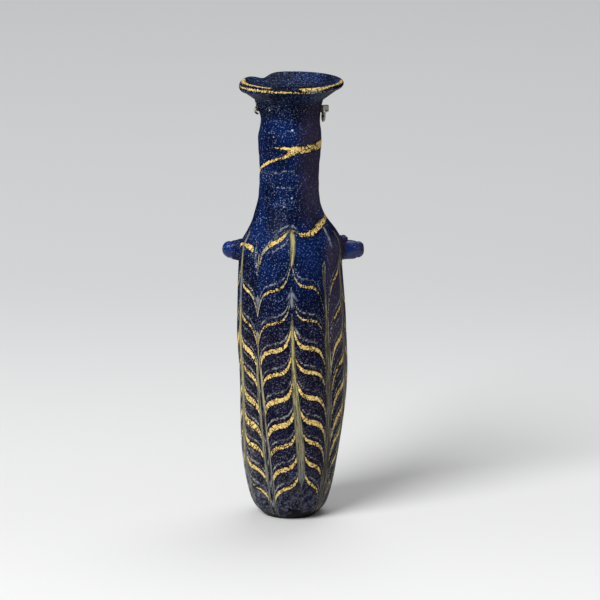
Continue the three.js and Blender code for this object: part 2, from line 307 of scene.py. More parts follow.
# %% Pull of the strokes
PULL = np.array([8.6, -17, 8, -11, 8, -9, 8, -10, 8.5, -7.8])
REACH = np.array([1.25, 1.4, 1.3, 1.4, 1.3, 1.4, 1.3, 1.4, 1.3, 1.45])
PULL_TOP = np.array([93.2, 84, 90, 88, 92, 89, 92, 90, 86, 93.2])
PULL_FADE = 5.6
HALF_MM = 0.5
LEAST_FALL = 1e-4


def pull_shares(radius, height, angle):
    """How strongly each stroke pulls at a point, from 0 to 1: exp(-distance / reach), and
    eased to nothing above the place where the stroke began."""
    distance = np.abs(stroke_distances(radius, height, angle))
    begun = np.stack([1 - smooth(height, top - PULL_FADE, top) for top in PULL_TOP], axis=-1)
    return np.exp(-distance / REACH) * begun


def unbent_height(radius, height, angle):
    """Height before combing: the height less the sum of every stroke's pull and its share."""
    return height - (PULL * pull_shares(radius, height, angle)).sum(axis=-1)


def thread_field(radius, height, angle, offset, thickness):
    """Distance in millimetres beyond the edge of the nearest pass of a wound thread, below zero
    inside it: the part of a turn to the pass, times the fall per turn, less half the thickness.
    The offset and the thickness are each a pair of lists, of turns and of the values there."""
    source = unbent_height(radius, height, angle)
    turns = turns_of(source)
    phase = turns + wrap(angle) / 360 + np.interp(turns, *offset)
    part = np.abs(phase - np.round(phase))
    fall = turns_of(source - HALF_MM) - turns_of(source + HALF_MM)
    swell = np.interp(wrap(angle), *zip(*SIDE_SWELL))
    swell = swell + LEG_SWELL * pull_shares(radius, height, angle).max(axis=-1)
    return part / np.maximum(fall, LEAST_FALL) - np.interp(turns, *thickness) * swell / 2


# %% [markdown]
# ## Threads that aren't part of the screw
#
# A few trails lie apart from it: a short one on the neck, two along the edge of the rim, and
# thin ones on the shoulder. Each is a line through places on the unrolled wall.

# %% Field of a single line
FAR = 9.0
SLOPE_STEP = 2.0
LINE_RADIUS = 12.0
END_FALL = 0.3


def line_field(height, angle, places):
    """Distance beyond the edge of a line through places of (angle, height, width): the height
    between point and line, shortened by the slope to their true distance, less half the width."""
    line_angle, line_height, width = np.array(places, float).T
    flat = wrap(angle - line_angle.mean()) + line_angle.mean()
    level = np.interp(flat, line_angle, line_height)
    ahead = np.interp(flat + SLOPE_STEP, line_angle, line_height)
    behind = np.interp(flat - SLOPE_STEP, line_angle, line_height)
    slope = (ahead - behind) / (2 * np.radians(SLOPE_STEP) * LINE_RADIUS)
    half = np.interp(flat, line_angle, width) / 2
    outside = np.maximum(line_angle[0] - flat, flat - line_angle[-1])
    beyond = np.maximum(outside, 0) * END_FALL
    return np.minimum(np.abs(height - level) / np.sqrt(1 + slope ** 2) - half + beyond, FAR)


NECK_THREAD = [(-38, 114.7, -0.1), (-24, 114.9, 0.5), (-8, 115.0, 0.75), (4, 114.7, 1.3),
               (14, 114.4, 2.0), (30, 114.5, 2.0), (60, 114.9, 2.2), (100, 115.6, 1.4),
               (150, 115.6, -0.2)]
SHOULDER_EDGES = [[(-35, 84.6, 0.1), (-29, 87, 0.3), (-20, 88.7, 0.35), (-10, 89.9, 0.4),
                   (0, 90.7, 0.6), (8, 90.2, 0.5), (14, 88.8, 0.1)],
                  [(-7, 69.4, 0), (-4.5, 70.4, 0.5), (0, 72.2, 0.9), (1, 72.5, 1.0), (2, 72.2, 0.9),
                   (6.5, 70.4, 0.5), (9, 69.4, 0)]]
UNDER_RIM_LINE = [(-50, 126, 0), (-38, 127, 0.3), (-24, 127.8, 0.3), (-8, 128.2, 0.2)]
PALE_LINES = [[(50, 85.6, 0.3), (52.5, 87.2, 1.1), (56, 90.2, 1.2), (58.5, 91.8, 0)],
              [(-77, 88.6, 0), (-75, 87.8, 1.0), (-72.5, 85.6, 0.7), (-71, 84.5, 0)],
              [(-30, 83.4, 0), (-20, 85, 0.3), (-10, 86.5, 0.35), (-4, 88.4, 0.3)],
              [(-27, 89.6, 0.1), (-10, 91.3, 0.35), (0, 92, 0.4), (8, 91.2, 0.4), (12, 89.8, 0.1)],
              [(-58, 82.6, 0.1), (-50, 83, 0.35), (-44, 81.6, 0.25), (-41, 78.4, 0.2), (-39, 76, 0)],
              [(-48, 86.2, 0.1), (-45, 84.4, 0.3), (-41.5, 81, 0.2), (-39.5, 79, 0)],
              [(-75, 106.6, 0.2), (-35, 107, 0.42), (-12, 107.8, 0.42), (10, 108, 0.2)],
              [(-30, 102.8, 0.1), (5, 102.9, 0.35), (25, 103.4, 0.1)],
              [(3, 62, 0.2), (6, 60.6, 0.4), (10, 59.4, 0.4), (18, 57.7, 0.4), (26, 57.2, 0.2)]]

# %% [markdown]
# ## Stripes along the strokes
#
# Where the tool passed, streaks of all the glasses ran together into long stripes. Each stroke
# has its own width over the height. A valley on the left has two thin ones, side by side.

# %% Width of the stripes
STEM_WIDTH = [(0, -0.1), (5, 0.05), (11, 0.2), (15, 1.35), (25, 1.35), (41, 1.0), (45, 0.7),
              (58, 0.55), (63.5, 0.35), (65, -0.2), (67, -0.2), (68.5, 0.45), (71.5, 0.5), (73, -0.3),
              (79, -0.3), (81, 0.48), (84, 0.72), (89.5, 0.8), (91, -0.5), (93, -3)]
SIDE_STEM_WIDTH = [(0, 0.3), (5, 0.8), (20, 1.25), (50, 1.15), (70, 0.9), (84, 0.6), (88, 0.45),
                   (90, -0.5), (92, -3)]
TWIN_VALLEY_WIDTH = [(0, 0.1), (3, 0.35), (20, 0.45), (48, 0.4), (52, 0.1), (55, 0.3), (59, 0.45),
                     (61, -0.4), (66, -0.4), (67.5, 0.3), (70, 0.5), (71.5, -0.3), (77, -0.2),
                     (78, 0.1), (83.5, 0.1), (85, -1), (88, -3)]
BUNDLE_WIDTH = [(0, 1.6), (5, 1.7), (20, 1.25), (45, 1.15), (58, 1.05), (64, 0.6), (72, 0.25),
                (75, 0.55), (78, 0.4), (80, -1), (84, -3)]
VALLEY_WIDTH = [(0, 0.5), (5, 0.7), (20, 0.9), (50, 0.8), (68, 0.3), (74, -1), (78, -3)]
TWIN_OFFSET = 0.82
TWIN_EDGE = (TWIN_OFFSET - 0.1, TWIN_OFFSET + 0.2)
TWIN_END = (45, 56)
PROFILES = [STEM_WIDTH, BUNDLE_WIDTH, SIDE_STEM_WIDTH, VALLEY_WIDTH, SIDE_STEM_WIDTH,
            VALLEY_WIDTH, SIDE_STEM_WIDTH, TWIN_VALLEY_WIDTH, SIDE_STEM_WIDTH, TWIN_VALLEY_WIDTH]
TWINS = np.array([0, 0, 0, 0, 0, 0, 0, 1, 0, 1])
BROWNNESS = np.array([0, 0.75, 0.6, 0.5, 0.2, 0.5, 0.1, 0.4, 0.1, 0.35])


def stripe_field(radius, height, angle):
    """Distance in millimetres beyond the edge of the nearest stripe, and how brown that stripe is."""
    distance = np.abs(stroke_distances(radius, height, angle))
    apart = TWIN_OFFSET * TWINS * (1 - smooth(height, *TWIN_END))[..., None]
    distance = np.abs(distance - apart)
    half = np.stack([np.interp(height, *zip(*profile)) for profile in PROFILES], axis=-1)
    beyond = distance - half
    nearest = beyond.argmin(axis=-1)
    return np.take_along_axis(beyond, nearest[..., None], -1)[..., 0], BROWNNESS[nearest]


def twin_gap(radius, height, angle):
    """1 between the two stripes of a twin valley, where no thread shows, and 0 elsewhere."""
    distance = np.abs(stroke_distances(radius, height, angle))
    inside = (1 - smooth(distance, *TWIN_EDGE)) * TWINS
    return inside.max(axis=-1) * (1 - smooth(height, *TWIN_END))


# %% Lists for the thin pale lines
NO_OFFSET = ([0], [0])
PALE_OFFSET = ([0.5, 1, 2, 3, 5], [0.14, 0.17, 0.21, 0.26, 0.31])
PALE_THICKNESS = ([-1.2, -0.9, 0.4, 0.8, 9.2, 9.6], [-2, 0, 0.15, 0.46, 0.52, -2])
SIDE_OFFSET = ([0], [-0.27])
SIDE_THICKNESS = ([1.2, 1.6, 9.2, 9.6], [-2, 0.36, 0.42, -2])
SIDES_FROM = (41, 47)
UNDER_RIM_BROWN = 0.85

# %% Work out the fields on the outer wall
on_unrolled = (wall_radius, wall_height, wall_angle)
thread = thread_field(*on_unrolled, NO_OFFSET, (THICKNESS_TURNS, THICKNESS))
thread = np.minimum(thread, line_field(wall_height, wall_angle, NECK_THREAD))
pale = thread_field(*on_unrolled, PALE_OFFSET, PALE_THICKNESS)
side_lines = thread_field(*on_unrolled, SIDE_OFFSET, SIDE_THICKNESS)
front = 1 - smooth(np.abs(wrap(wall_angle)), *SIDES_FROM)
pale = np.minimum(pale, side_lines + FAR * front)
for places in PALE_LINES:
    pale = np.minimum(pale, line_field(wall_height, wall_angle, places))
stripe, brown = stripe_field(*on_unrolled)
for places in SHOULDER_EDGES:
    stripe = np.minimum(stripe, line_field(wall_height, wall_angle, places))
under_rim = line_field(wall_height, wall_angle, UNDER_RIM_LINE)
brown = np.where(under_rim < stripe, UNDER_RIM_BROWN, brown)
stripe = np.minimum(stripe, under_rim)
pulled = pull_shares(*on_unrolled).max(axis=-1)
print("yellow share before wear:", round(float((thread < 0).mean()), 3))

# %% [markdown]
# The thread isn't whole. It is missing where it should cross the front stem at the shoulder and
# beside the left valley, it stops between twin stripes, and it is worn thin low on both sides.
# A field grows by some tenths of a millimetre there, which makes the thread that much thinner.

# %% Places where the thread is missing or worn
BARE_STEM_ANGLE = 4
BARE_STEM_WIDTH = (5, 8)
BARE_STEM_HEIGHTS = (80, 95)
BARE_STEM_LOSS = 0.9
BARE_VALLEY_ANGLE = -43
BARE_VALLEY_HEIGHT = 82
BARE_VALLEY_HALF = 4.5
BARE_VALLEY_SLOPE = 2.2
BARE_VALLEY_WIDTH = (4, 6.5)
BARE_VALLEY_LOSS = 1.4
TWIN_GAP_LOSS = 2.0
WORN_FROM_LEFT = (34, 46)
WORN_FROM_RIGHT = (30, 50)
WORN_BELOW = (13, 22)
WORN_LOSS = 0.4

beside_stem = smooth(np.abs(wrap(wall_angle - BARE_STEM_ANGLE)), *BARE_STEM_WIDTH)
beside_stem = beside_stem + (wall_height < BARE_STEM_HEIGHTS[0]) + (wall_height > BARE_STEM_HEIGHTS[1])
thread = thread + BARE_STEM_LOSS * (1 - np.clip(beside_stem, 0, 1))
too_high = np.maximum(np.abs(wall_height - BARE_VALLEY_HEIGHT) - BARE_VALLEY_HALF, 0)
from_valley = np.abs(wrap(wall_angle - BARE_VALLEY_ANGLE)) + BARE_VALLEY_SLOPE * too_high
thread = thread + BARE_VALLEY_LOSS * (1 - smooth(from_valley, *BARE_VALLEY_WIDTH))
thread = thread + TWIN_GAP_LOSS * twin_gap(*on_unrolled)
worn_side = smooth(-wrap(wall_angle), *WORN_FROM_LEFT) + smooth(wrap(wall_angle), *WORN_FROM_RIGHT)
thread = thread + WORN_LOSS * worn_side * (1 - smooth(wall_height, *WORN_BELOW))
print("yellow share of the wall:", round(float((thread < 0).mean()), 3))

# %% Fields on the rim
rim_steps = np.linalg.norm(np.diff(rim_points, axis=0), axis=-1)
rim_run = np.concatenate([np.zeros((1, COLUMNS)), np.cumsum(rim_steps, axis=0)])
rim_run = rim_run - np.pi * rim_half / 2
rim_wrapped = wrap(rim_angle)
LOWER_RIM_PLACE = [(-180, 0.1), (-80, 0.1), (-40, 0.25), (0, 0.0), (20, -0.35), (60, -0.4),
                   (180, 0.1)]
LOWER_RIM_WIDTH = [(-180, -1), (-110, -1), (-85, 0.35), (-60, 0.45), (-40, 0.55), (-10, 0.45),
                   (0, 0.3), (20, 0.25), (60, 0.15), (80, 0.1), (100, -1), (180, -1)]
UPPER_RIM_PLACE = [(-180, 2.2), (-90, 2.0), (-60, 2.2), (-30, 2.1), (0, 1.8), (12, 1.25), (22, 1.2),
                   (35, 1.35), (60, 1.6), (90, 1.3), (180, 2.2)]
UPPER_RIM_WIDTH = [(-180, -2), (-115, -2), (-95, 1.2), (-60, 1.5), (-45, 1.1), (-28, 1.8),
                   (-17, -0.3), (-12, 0.7), (-9, -0.4), (-4, 0.7), (0, -0.3), (8, -0.2), (13, 1.9),
                   (20, 2.6), (34, 2.5), (42, 1.6), (55, 1.4), (75, 1.2), (90, 0.8), (110, -2),
                   (180, -2)]
RIM_BROWN_START = (8, 22)
RIM_BROWN_END = (90, 120)
RIM_BROWN_RUN = 0.6
RIM_PULL = 0.3


def rim_line(place, width):
    """Distance beyond the edge of a line round the rim: the run over the edge less the line's
    place, without its sign, less half its width, both read at the column's angle."""
    middle = np.interp(rim_wrapped, *zip(*place))
    return np.abs(rim_run - middle) - np.interp(rim_wrapped, *zip(*width)) / 2


lower_line = rim_line(LOWER_RIM_PLACE, LOWER_RIM_WIDTH)
upper_line = rim_line(UPPER_RIM_PLACE, UPPER_RIM_WIDTH)
rim_thread = np.minimum(lower_line, upper_line)
rim_brown = smooth(rim_wrapped, *RIM_BROWN_START) * (1 - smooth(rim_wrapped, *RIM_BROWN_END))
rim_brown = rim_brown * (rim_run < RIM_BROWN_RUN)
rim_far = np.full((EDGE_ROWS + DISH_ROWS, COLUMNS), FAR)


def whole(wall_part, rim_part, elsewhere):
    """One value for every vertex of the vessel: foot, wall, rim, hollow, then the two poles."""
    hollow_part = np.full((HOLLOW_ROWS, COLUMNS), elsewhere, float)
    foot_part = np.full((len(FOOT_RADII), COLUMNS), elsewhere, float)
    rows = np.concatenate([foot_part, wall_part, rim_part, hollow_part])
    return np.concatenate([rows.ravel(), [elsewhere, elsewhere]])


fields = {"thread": whole(thread, rim_thread, FAR), "pale": whole(pale, rim_far, FAR),
          "stripe": whole(stripe, rim_far, FAR), "brown": whole(brown, rim_brown, 0),
          "pulled": whole(pulled, rim_brown * RIM_PULL, 0)}
print("fields:", {name: len(values) for name, values in fields.items()})

# %% [markdown]
# ## Combed coordinates
#
# Fine streaks inside the stripes run along the strokes. A noise texture shows streaks when its
# coordinates change fast across and slowly along. The column number bent into a circle
# gives such coordinates without a seam at the back.

# %% Combed coordinates of the vessel
STREAK_STRETCH = 0.06
column_turn = 2 * np.pi * np.arange(COLUMNS) / COLUMNS
MEAN_RADIUS = 15.0


def combed(height_rows):
    """Points on a straight cylinder: the column number is the angle, and the height is shrunk."""
    x = MEAN_RADIUS * np.cos(column_turn)[None, :] + 0 * height_rows
    y = MEAN_RADIUS * np.sin(column_turn)[None, :] + 0 * height_rows
    return np.stack([x, y, STREAK_STRETCH * height_rows], axis=-1).reshape(-1, 3)


combed_rows = combed(vessel_rows[..., 2])
combed_all = np.concatenate([combed_rows, [[0, 0, 0], [0, 0, 0]]])
print("combed coordinates:", combed_all.shape)

# %% [markdown]
# ## Closing the surface
#
# A grid whose last column meets the first is a tube. A single vertex at each end closes it.
# The signed volume tells whether the faces point outwards, and if not, we turn them round.

# %% Mesh from a closed grid
def closed_grid(rows, start, end):
    """Vertices and faces of a stack of rings, closed by a point at each end."""
    ring_count, around_count = rows.shape[:2]
    points = np.concatenate([rows.reshape(-1, 3), [start, end]])
    index = np.arange(ring_count * around_count).reshape(ring_count, around_count)
    beside = np.roll(index, -1, axis=1)
    quads = np.stack([index[:-1], beside[:-1], beside[1:], index[1:]], axis=-1).reshape(-1, 4)
    first = len(points) - 2
    bottom = np.stack([np.full(around_count, first), beside[0], index[0]], axis=-1)
    top = np.stack([np.full(around_count, first + 1), index[-1], beside[-1]], axis=-1)
    return points, quads, np.concatenate([bottom, top])


def signed_volume(points, quads, triangles):
    """Sum of the tetrahedra from the origin to each triangle: positive where faces point outwards."""
    split = np.concatenate([quads[:, [0, 1, 2]], quads[:, [0, 2, 3]], triangles])
    a, b, c = (points[split[:, k]] for k in range(3))
    return float(np.einsum("ij,ij->i", a, np.cross(b, c)).sum() / 6)


def outward(points, quads, triangles):
    """The same faces, turned round if they point inwards."""
    if signed_volume(points, quads, triangles) < 0:
        return quads[:, ::-1], triangles[:, ::-1]
    return quads, triangles


vessel = closed_grid(vessel_rows, around(0, 0.0, 0.0), around(0, BASE_THICKNESS, 0.0))
vessel_quads, vessel_triangles = outward(*vessel)
vessel_volume = signed_volume(vessel[0], vessel_quads, vessel_triangles)
print("volume of glass in cm3:", round(vessel_volume / 1000, 2))

# %% [markdown]
# ## The lugs
#
# Two small lugs of the same glass were pressed on at the shoulder. Each is a stub with an oval
# section that swells where it meets the wall and ends in a blunt tip, with a shallow groove
# round it and some dents. A small folded lump sits on the root of the right one.

# %% Lug surface
LUG_HEIGHT = 81.5
LUG_BACKSET = 10
LUG_DEPTH_SHARE = 0.8
LUG_START = 13.9
LUG_SIDES = 40
LUG_ROWS = 34
GROOVE_DEPTH = 0.09
GROOVE_WIDTH = 0.38
TIP_GAP = 0.4
FLARE_START = 15.4
FLARE_SPREAD = 0.9
DENT_DEPTH = 0.05
DENTS_ROUND = 3
DENTS_ALONG = 5
LEFT_LUG = {"side": -1, "reach": 21.0, "root": 6.3, "end": 6.1, "bluntness": 2.9, "flare": 0.25,
            "groove": 18.5}
RIGHT_LUG = {"side": 1, "reach": 22.3, "root": 6.0, "end": 5.9, "bluntness": 3.8, "flare": 0.3,
             "groove": 20.2}


def lug_grid(side, reach, root, end, bluntness, flare, groove):
    """Rings along a stub: the half height is the mean of root and end, times a superellipse that
    rounds the tip, less a bell-shaped groove, and grows by a flare towards the wall."""
    along = np.sin(np.pi / 2 * np.arange(LUG_ROWS) / (LUG_ROWS + TIP_GAP))[:, None]
    out = LUG_START + (reach - LUG_START) * along
    half = (root + (end - root) * along) / 2 * (1 - along ** bluntness) ** (1 / bluntness)
    half = half * (1 - GROOVE_DEPTH * np.exp(-((out - groove) / GROOVE_WIDTH) ** 2))
    half = half + flare * np.exp(-np.maximum(out - FLARE_START, 0) ** 2 / FLARE_SPREAD)
    corner = 2 * np.pi * np.arange(LUG_SIDES) / LUG_SIDES
    dent = 1 - DENT_DEPTH * np.sin(DENTS_ROUND * corner + along * DENTS_ALONG)
    y = half * LUG_DEPTH_SHARE * np.cos(corner) * dent
    z = half * np.sin(corner) * dent
    yaw = np.radians(LUG_BACKSET if side > 0 else 180 - LUG_BACKSET)
    x = out * np.cos(yaw) - y * np.sin(yaw) + eased(WANDER_X, LUG_HEIGHT / RIM_TOP)
    depth = out * np.sin(yaw) + y * np.cos(yaw) + eased(WANDER_Y, LUG_HEIGHT / RIM_TOP)
    return np.stack(np.broadcast_arrays(x, depth, z + LUG_HEIGHT), axis=-1)


def capped(rows):
    """The grid closed by the middle of its first ring and of its last one."""
    points, quads, triangles = closed_grid(rows, rows[0].mean(axis=0), rows[-1].mean(axis=0))
    quads, triangles = outward(points, quads, triangles)
    return points, quads, triangles


left_lug = capped(lug_grid(**LEFT_LUG))
right_lug = capped(lug_grid(**RIGHT_LUG))
print("lug vertices:", len(left_lug[0]) + len(right_lug[0]))

# %% Folded lump above the right lug
LUMP_RADIUS = 1.75
LUMP_HEIGHT = 84.9
LUMP_ANGLE = 100.0
LUMP_OUT = 0.35
LUMP_FOLD = 0.16
LUMP_SQUASH = 0.7


def radius_at(height):
    """Radius of the outer wall at a height, by interpolating the profile."""
    return np.interp(height, wall[:, 1], wall[:, 0])


def lump_grid(centre, radius, rows=16, sides=24):
    """A ball whose surface is folded by a sine of its angle round the axis of the lug."""
    polar = np.pi * (np.arange(rows) + 0.5)[:, None] / rows
    corner = 2 * np.pi * np.arange(sides) / sides
    size = radius * (1 - LUMP_FOLD * np.sin(2 * corner + 3 * polar) ** 2)
    x = size * np.cos(polar)
    y = size * LUG_DEPTH_SHARE * np.sin(polar) * np.cos(corner)
    z = size * LUMP_SQUASH * np.sin(polar) * np.sin(corner)
    return np.stack([x, y, z], axis=-1) + centre


lump_centre = around(radius_at(LUMP_HEIGHT) + LUMP_OUT, LUMP_HEIGHT, LUMP_ANGLE)
lump = capped(lump_grid(lump_centre, LUMP_RADIUS))
print("lump at:", lump_centre.round(2))

# %% [markdown]
# ## One mesh for the glass
#
# The vessel, the lugs and the lump are one piece of glass, so they go into one object. The
# fields become attributes of its vertices, which the material reads by name.

# %% Build the glass object
def join(parts):
    """One list of vertices and of faces from several closed parts."""
    points, faces, offset = [], [], 0
    for part_points, part_quads, part_triangles in parts:
        points.append(part_points)
        faces += (part_quads + offset).tolist() + (part_triangles + offset).tolist()
        offset += len(part_points)
    return np.concatenate(points), faces


def new_object(name, points, faces):
    """A mesh object at the origin, from millimetres, with smooth faces."""
    mesh = bpy.data.meshes.new(name)
    mesh.from_pydata((points * MM).tolist(), [], faces)
    mesh.polygons.foreach_set("use_smooth", np.ones(len(mesh.polygons), bool))
    mesh.update()
    made = bpy.data.objects.new(name, mesh)
    bpy.context.scene.collection.objects.link(made)
    return made


def add_field(made, name, values, kind="FLOAT"):
    """Stores one number or vector for each vertex under a name."""
    attribute = made.data.attributes.new(name, kind, "POINT")
    key = "value" if kind == "FLOAT" else "vector"
    attribute.data.foreach_set(key, np.ascontiguousarray(values, np.float32).ravel())


glass_parts = [(vessel[0], vessel_quads, vessel_triangles), left_lug, right_lug, lump]
glass_points, glass_faces = join(glass_parts)
glass = new_object("glass_flask", glass_points, glass_faces)
extra = len(glass_points) - len(combed_all)
for name, values in fields.items():
    rest = 0.0 if name in ("brown", "pulled") else FAR
    add_field(glass, name, np.concatenate([values, np.full(extra, rest)]))
combed_glass = np.concatenate([combed_all, glass_points[len(combed_all):]])
add_field(glass, "combed", combed_glass, "FLOAT_VECTOR")
print("glass triangles:", sum(len(face) - 2 for face in glass_faces))

# %% [markdown]
# ## The wire
#
# Somebody later tied a thin wire round the neck. It shows only as a small hook on the left and as
# a flattened loop on the right. A tube along a path does it, and the path goes round the back.

# %% Tube along a path
WIRE_HEIGHT = 125.5
WIRE_RADIUS = 0.3
WIRE_GAP = 0.58
WIRE_OFFSET = float(radius_at(WIRE_HEIGHT)) + WIRE_GAP
WIRE_SIDES = 12
RING_START = np.array([0.4, 0.5, 0.77])


def unit(vectors):
    """Each vector divided by its length."""
    return vectors / np.linalg.norm(vectors, axis=1)[:, None]


def tube(path, radius):
    """Rings about a path: each ring lies across the tangent, and a fixed slanting direction
    sets where it starts, since a round tube has no top."""
    tangent = unit(np.gradient(path, axis=0))
    across = unit(np.cross(tangent, RING_START))
    other = np.cross(tangent, across)
    corner = 2 * np.pi * np.arange(WIRE_SIDES) / WIRE_SIDES
    ring = across[:, None] * np.cos(corner)[:, None] + other[:, None] * np.sin(corner)[:, None]
    return path[:, None] + np.reshape(radius, (-1, 1, 1)) * ring


# %% Path of the wire
HOOK_ANGLE = 292.0
TAB_ANGLE = 90.0
BACK_STEPS = 26
HOOK_BENDS = np.array([(0.05, -0.35, -1.0), (-0.45, -0.5, -0.75), (-0.85, -0.5, -0.3),
                       (-0.95, -0.45, 0.2), (-0.6, -0.4, 0.55), (-0.1, -0.2, 0.5)])
TAB_INSET = 0.28
TAB_SHIFT = np.array([0.4, -0.9, 0])
TAIL_BENDS = np.array([(0.3, 0, 0.9), (0.35, 0, -0.2), (0.35, 0, -1.6), (0.2, 0, -3.2),
                       (0, 0, -3.8), (-0.25, 0, -3.1), (-0.3, 0, -2), (-0.2, 0, -0.9)])
WIRE_FINE = 900
WIRE_RINGS = 300

hook = around(WIRE_OFFSET, WIRE_HEIGHT, HOOK_ANGLE) + HOOK_BENDS
back_turn = np.linspace(HOOK_ANGLE, TAB_ANGLE, BACK_STEPS)
back = around(WIRE_OFFSET, np.full(BACK_STEPS, WIRE_HEIGHT), back_turn)
tab_root = around(WIRE_OFFSET - TAB_INSET, WIRE_HEIGHT, TAB_ANGLE) + TAB_SHIFT
wire_places = np.concatenate([hook, back, tab_root + TAIL_BENDS])
wire_path = even_steps(curve_through(wire_places, WIRE_FINE), WIRE_RINGS)
wire_length = np.linalg.norm(np.diff(wire_path, axis=0), axis=1).sum()
print("wire length in mm:", round(float(wire_length), 1))

# %% Thickness of the wire, and the stub of its other end
END_LOSS = 0.35
HOOK_TAPER = 6
TAIL_TAPER = 8
HOOK_SWELL = 0.25
HOOK_RINGS = (12, 22)
TAIL_SWELL = 0.35
TAIL_RINGS = (268, 280)
STUB_RINGS = 12
STUB_HEIGHTS = (125.9, 128.4)
STUB_ANGLES = (287.0, 281.0)
STUB_RADII = (0.3, 0.14)
STUB_GAP = 0.16

ring = np.arange(WIRE_RINGS)
thinning = 1 - END_LOSS * (np.exp(-ring / HOOK_TAPER) + np.exp(-ring[::-1] / TAIL_TAPER))
swelling = 1 + TAIL_SWELL * smooth(ring, *TAIL_RINGS) + HOOK_SWELL * (1 - smooth(ring, *HOOK_RINGS))
wire_tube = capped(tube(wire_path, WIRE_RADIUS * thinning * swelling))
stub_height = np.linspace(*STUB_HEIGHTS, STUB_RINGS)
stub_turn = np.linspace(*STUB_ANGLES, STUB_RINGS)
stub_path = around(radius_at(stub_height) + STUB_GAP, stub_height, stub_turn)
stub = capped(tube(stub_path, np.linspace(*STUB_RADII, STUB_RINGS)))
print("wire vertices:", len(wire_tube[0]) + len(stub[0]))

# %% Folded tab
TAB_ROUNDING = 0.35
TAB_FLATNESS = 0.5
FOLD_DEPTH = 0.3
FOLD_PLACE = -0.15
FOLD_WIDTH = 0.16
TAB_PLACE = np.array([0.62, 0.02, 0.0])
TAB_SIZE = (1.95, 0.86, 2.25)
# A lump at the root of the tab, against the neck, which the wire's finish paints dark as shade.
ROOT_PLACE = np.array([-0.35, 0.1, -0.1])
ROOT_SIZE = (1.1, 0.8, 2.3)


def power(value, exponent):
    """The size of a value raised to a power, with the sign of the value."""
    return np.sign(value) * np.abs(value) ** exponent


def tab_grid(corner, size, rows=20, sides=36):
    """A superellipsoid with rounded corners and a shallow fold along its middle."""
    polar = (np.pi * (np.arange(rows) + 0.5) / rows)[:, None]
    turned = 2 * np.pi * np.arange(sides) / sides
    x = power(np.sin(polar), TAB_ROUNDING) * power(np.cos(turned), TAB_ROUNDING)
    z = power(np.sin(polar), TAB_ROUNDING) * power(np.sin(turned), TAB_ROUNDING)
    fold = 1 - FOLD_DEPTH * np.exp(-((x - FOLD_PLACE) / FOLD_WIDTH) ** 2)
    y = power(np.cos(polar), TAB_FLATNESS) * fold
    return corner + np.stack(np.broadcast_arrays(x, y, z), axis=-1) * np.array(size) / 2


tab = capped(tab_grid(tab_root + TAB_PLACE, TAB_SIZE))
root_lump = capped(tab_grid(tab_root + ROOT_PLACE, ROOT_SIZE))
wire_points, wire_faces = join([wire_tube, stub, tab, root_lump])
wire = new_object("wire_round_neck", wire_points, wire_faces)
print("wire triangles:", sum(len(face) - 2 for face in wire_faces))

# %% [markdown]
# ## Materials
#
# A material is a small network of nodes. These helpers add a node, join two sockets and write
# the arithmetic that most of the networks share.

# %% Helpers for node networks
class Network:
    """Short names for adding and joining nodes in one tree."""

    def __init__(self, tree):
        """Keeps the tree that the nodes go into."""
        self.tree = tree

    def add(self, kind, **settings):
        """A new node with some of its properties set."""
        node = self.tree.nodes.new(kind)
        for name, value in settings.items():
            setattr(node, name, value)
        return node

    def put(self, socket, value):
        """A socket gets a link if the value is another socket, and else a plain value."""
        if isinstance(value, bpy.types.NodeSocket):
            self.tree.links.new(value, socket)
        else:
            socket.default_value = value

    def maths(self, operation, first, second=0.0, clamp=False):
        """One step of arithmetic on two sockets or numbers."""
        node = self.add("ShaderNodeMath", operation=operation, use_clamp=clamp)
        self.put(node.inputs[0], first)
        self.put(node.inputs[1], second)
        return node.outputs[0]

    def times(self, first, *others):
        """The product of two or more."""
        for other in others:
            first = self.maths("MULTIPLY", first, other)
        return first

    def plus(self, first, second):
        """The sum of two."""
        return self.maths("ADD", first, second)

    def minus(self, first, second):
        """The first less the second."""
        return self.maths("SUBTRACT", first, second)

    def larger(self, first, second):
        """The larger of two."""
        return self.maths("MAXIMUM", first, second)

    def noise(self, vector, scale, detail=3.0, rough=0.55):
        """Cloudy noise about 0.5, with so many cells a metre."""
        node = self.add("ShaderNodeTexNoise")
        self.put(node.inputs["Vector"], vector)
        node.inputs["Scale"].default_value = scale
        node.inputs["Detail"].default_value = detail
        node.inputs["Roughness"].default_value = rough
        return node.outputs["Fac"]

    def ramp(self, value, low, high, start=0.0, end=1.0):
        """Maps low..high to start..end, eased and held at both ends."""
        node = self.add("ShaderNodeMapRange", interpolation_type="SMOOTHSTEP")
        self.put(node.inputs["Value"], value)
        numbers = {"From Min": low, "From Max": high, "To Min": start, "To Max": end}
        for name, number in numbers.items():
            self.put(node.inputs[name], number)
        return node.outputs["Result"]

    def zone(self, *pairs):
        """The product of several ramps, given as a value and its numbers, again and again."""
        ramps = [self.ramp(value, *numbers) for value, numbers in zip(pairs[::2], pairs[1::2])]
        return self.times(*ramps)

    def mix(self, share, first, second):
        """The first colour where the share is 0 and the second where it is 1."""
        node = self.add("ShaderNodeMix", data_type="RGBA")
        self.put(node.inputs["Factor"], share)
        self.put(node.inputs["A"], first)
        self.put(node.inputs["B"], second)
        return node.outputs["Result"]

    def field(self, name, output="Fac"):
        """An attribute of the mesh, by its name."""
        return self.add("ShaderNodeAttribute", attribute_name=name).outputs[output]


def linear(red, green, blue):
    """Colour from the eight-bit numbers of a picture, with the curve of such numbers undone."""
    value = np.array([red, green, blue]) / 255
    value = np.where(value <= 0.04045, value / 12.92, ((value + 0.055) / 1.055) ** 2.4)
    return (*value.tolist(), 1.0)


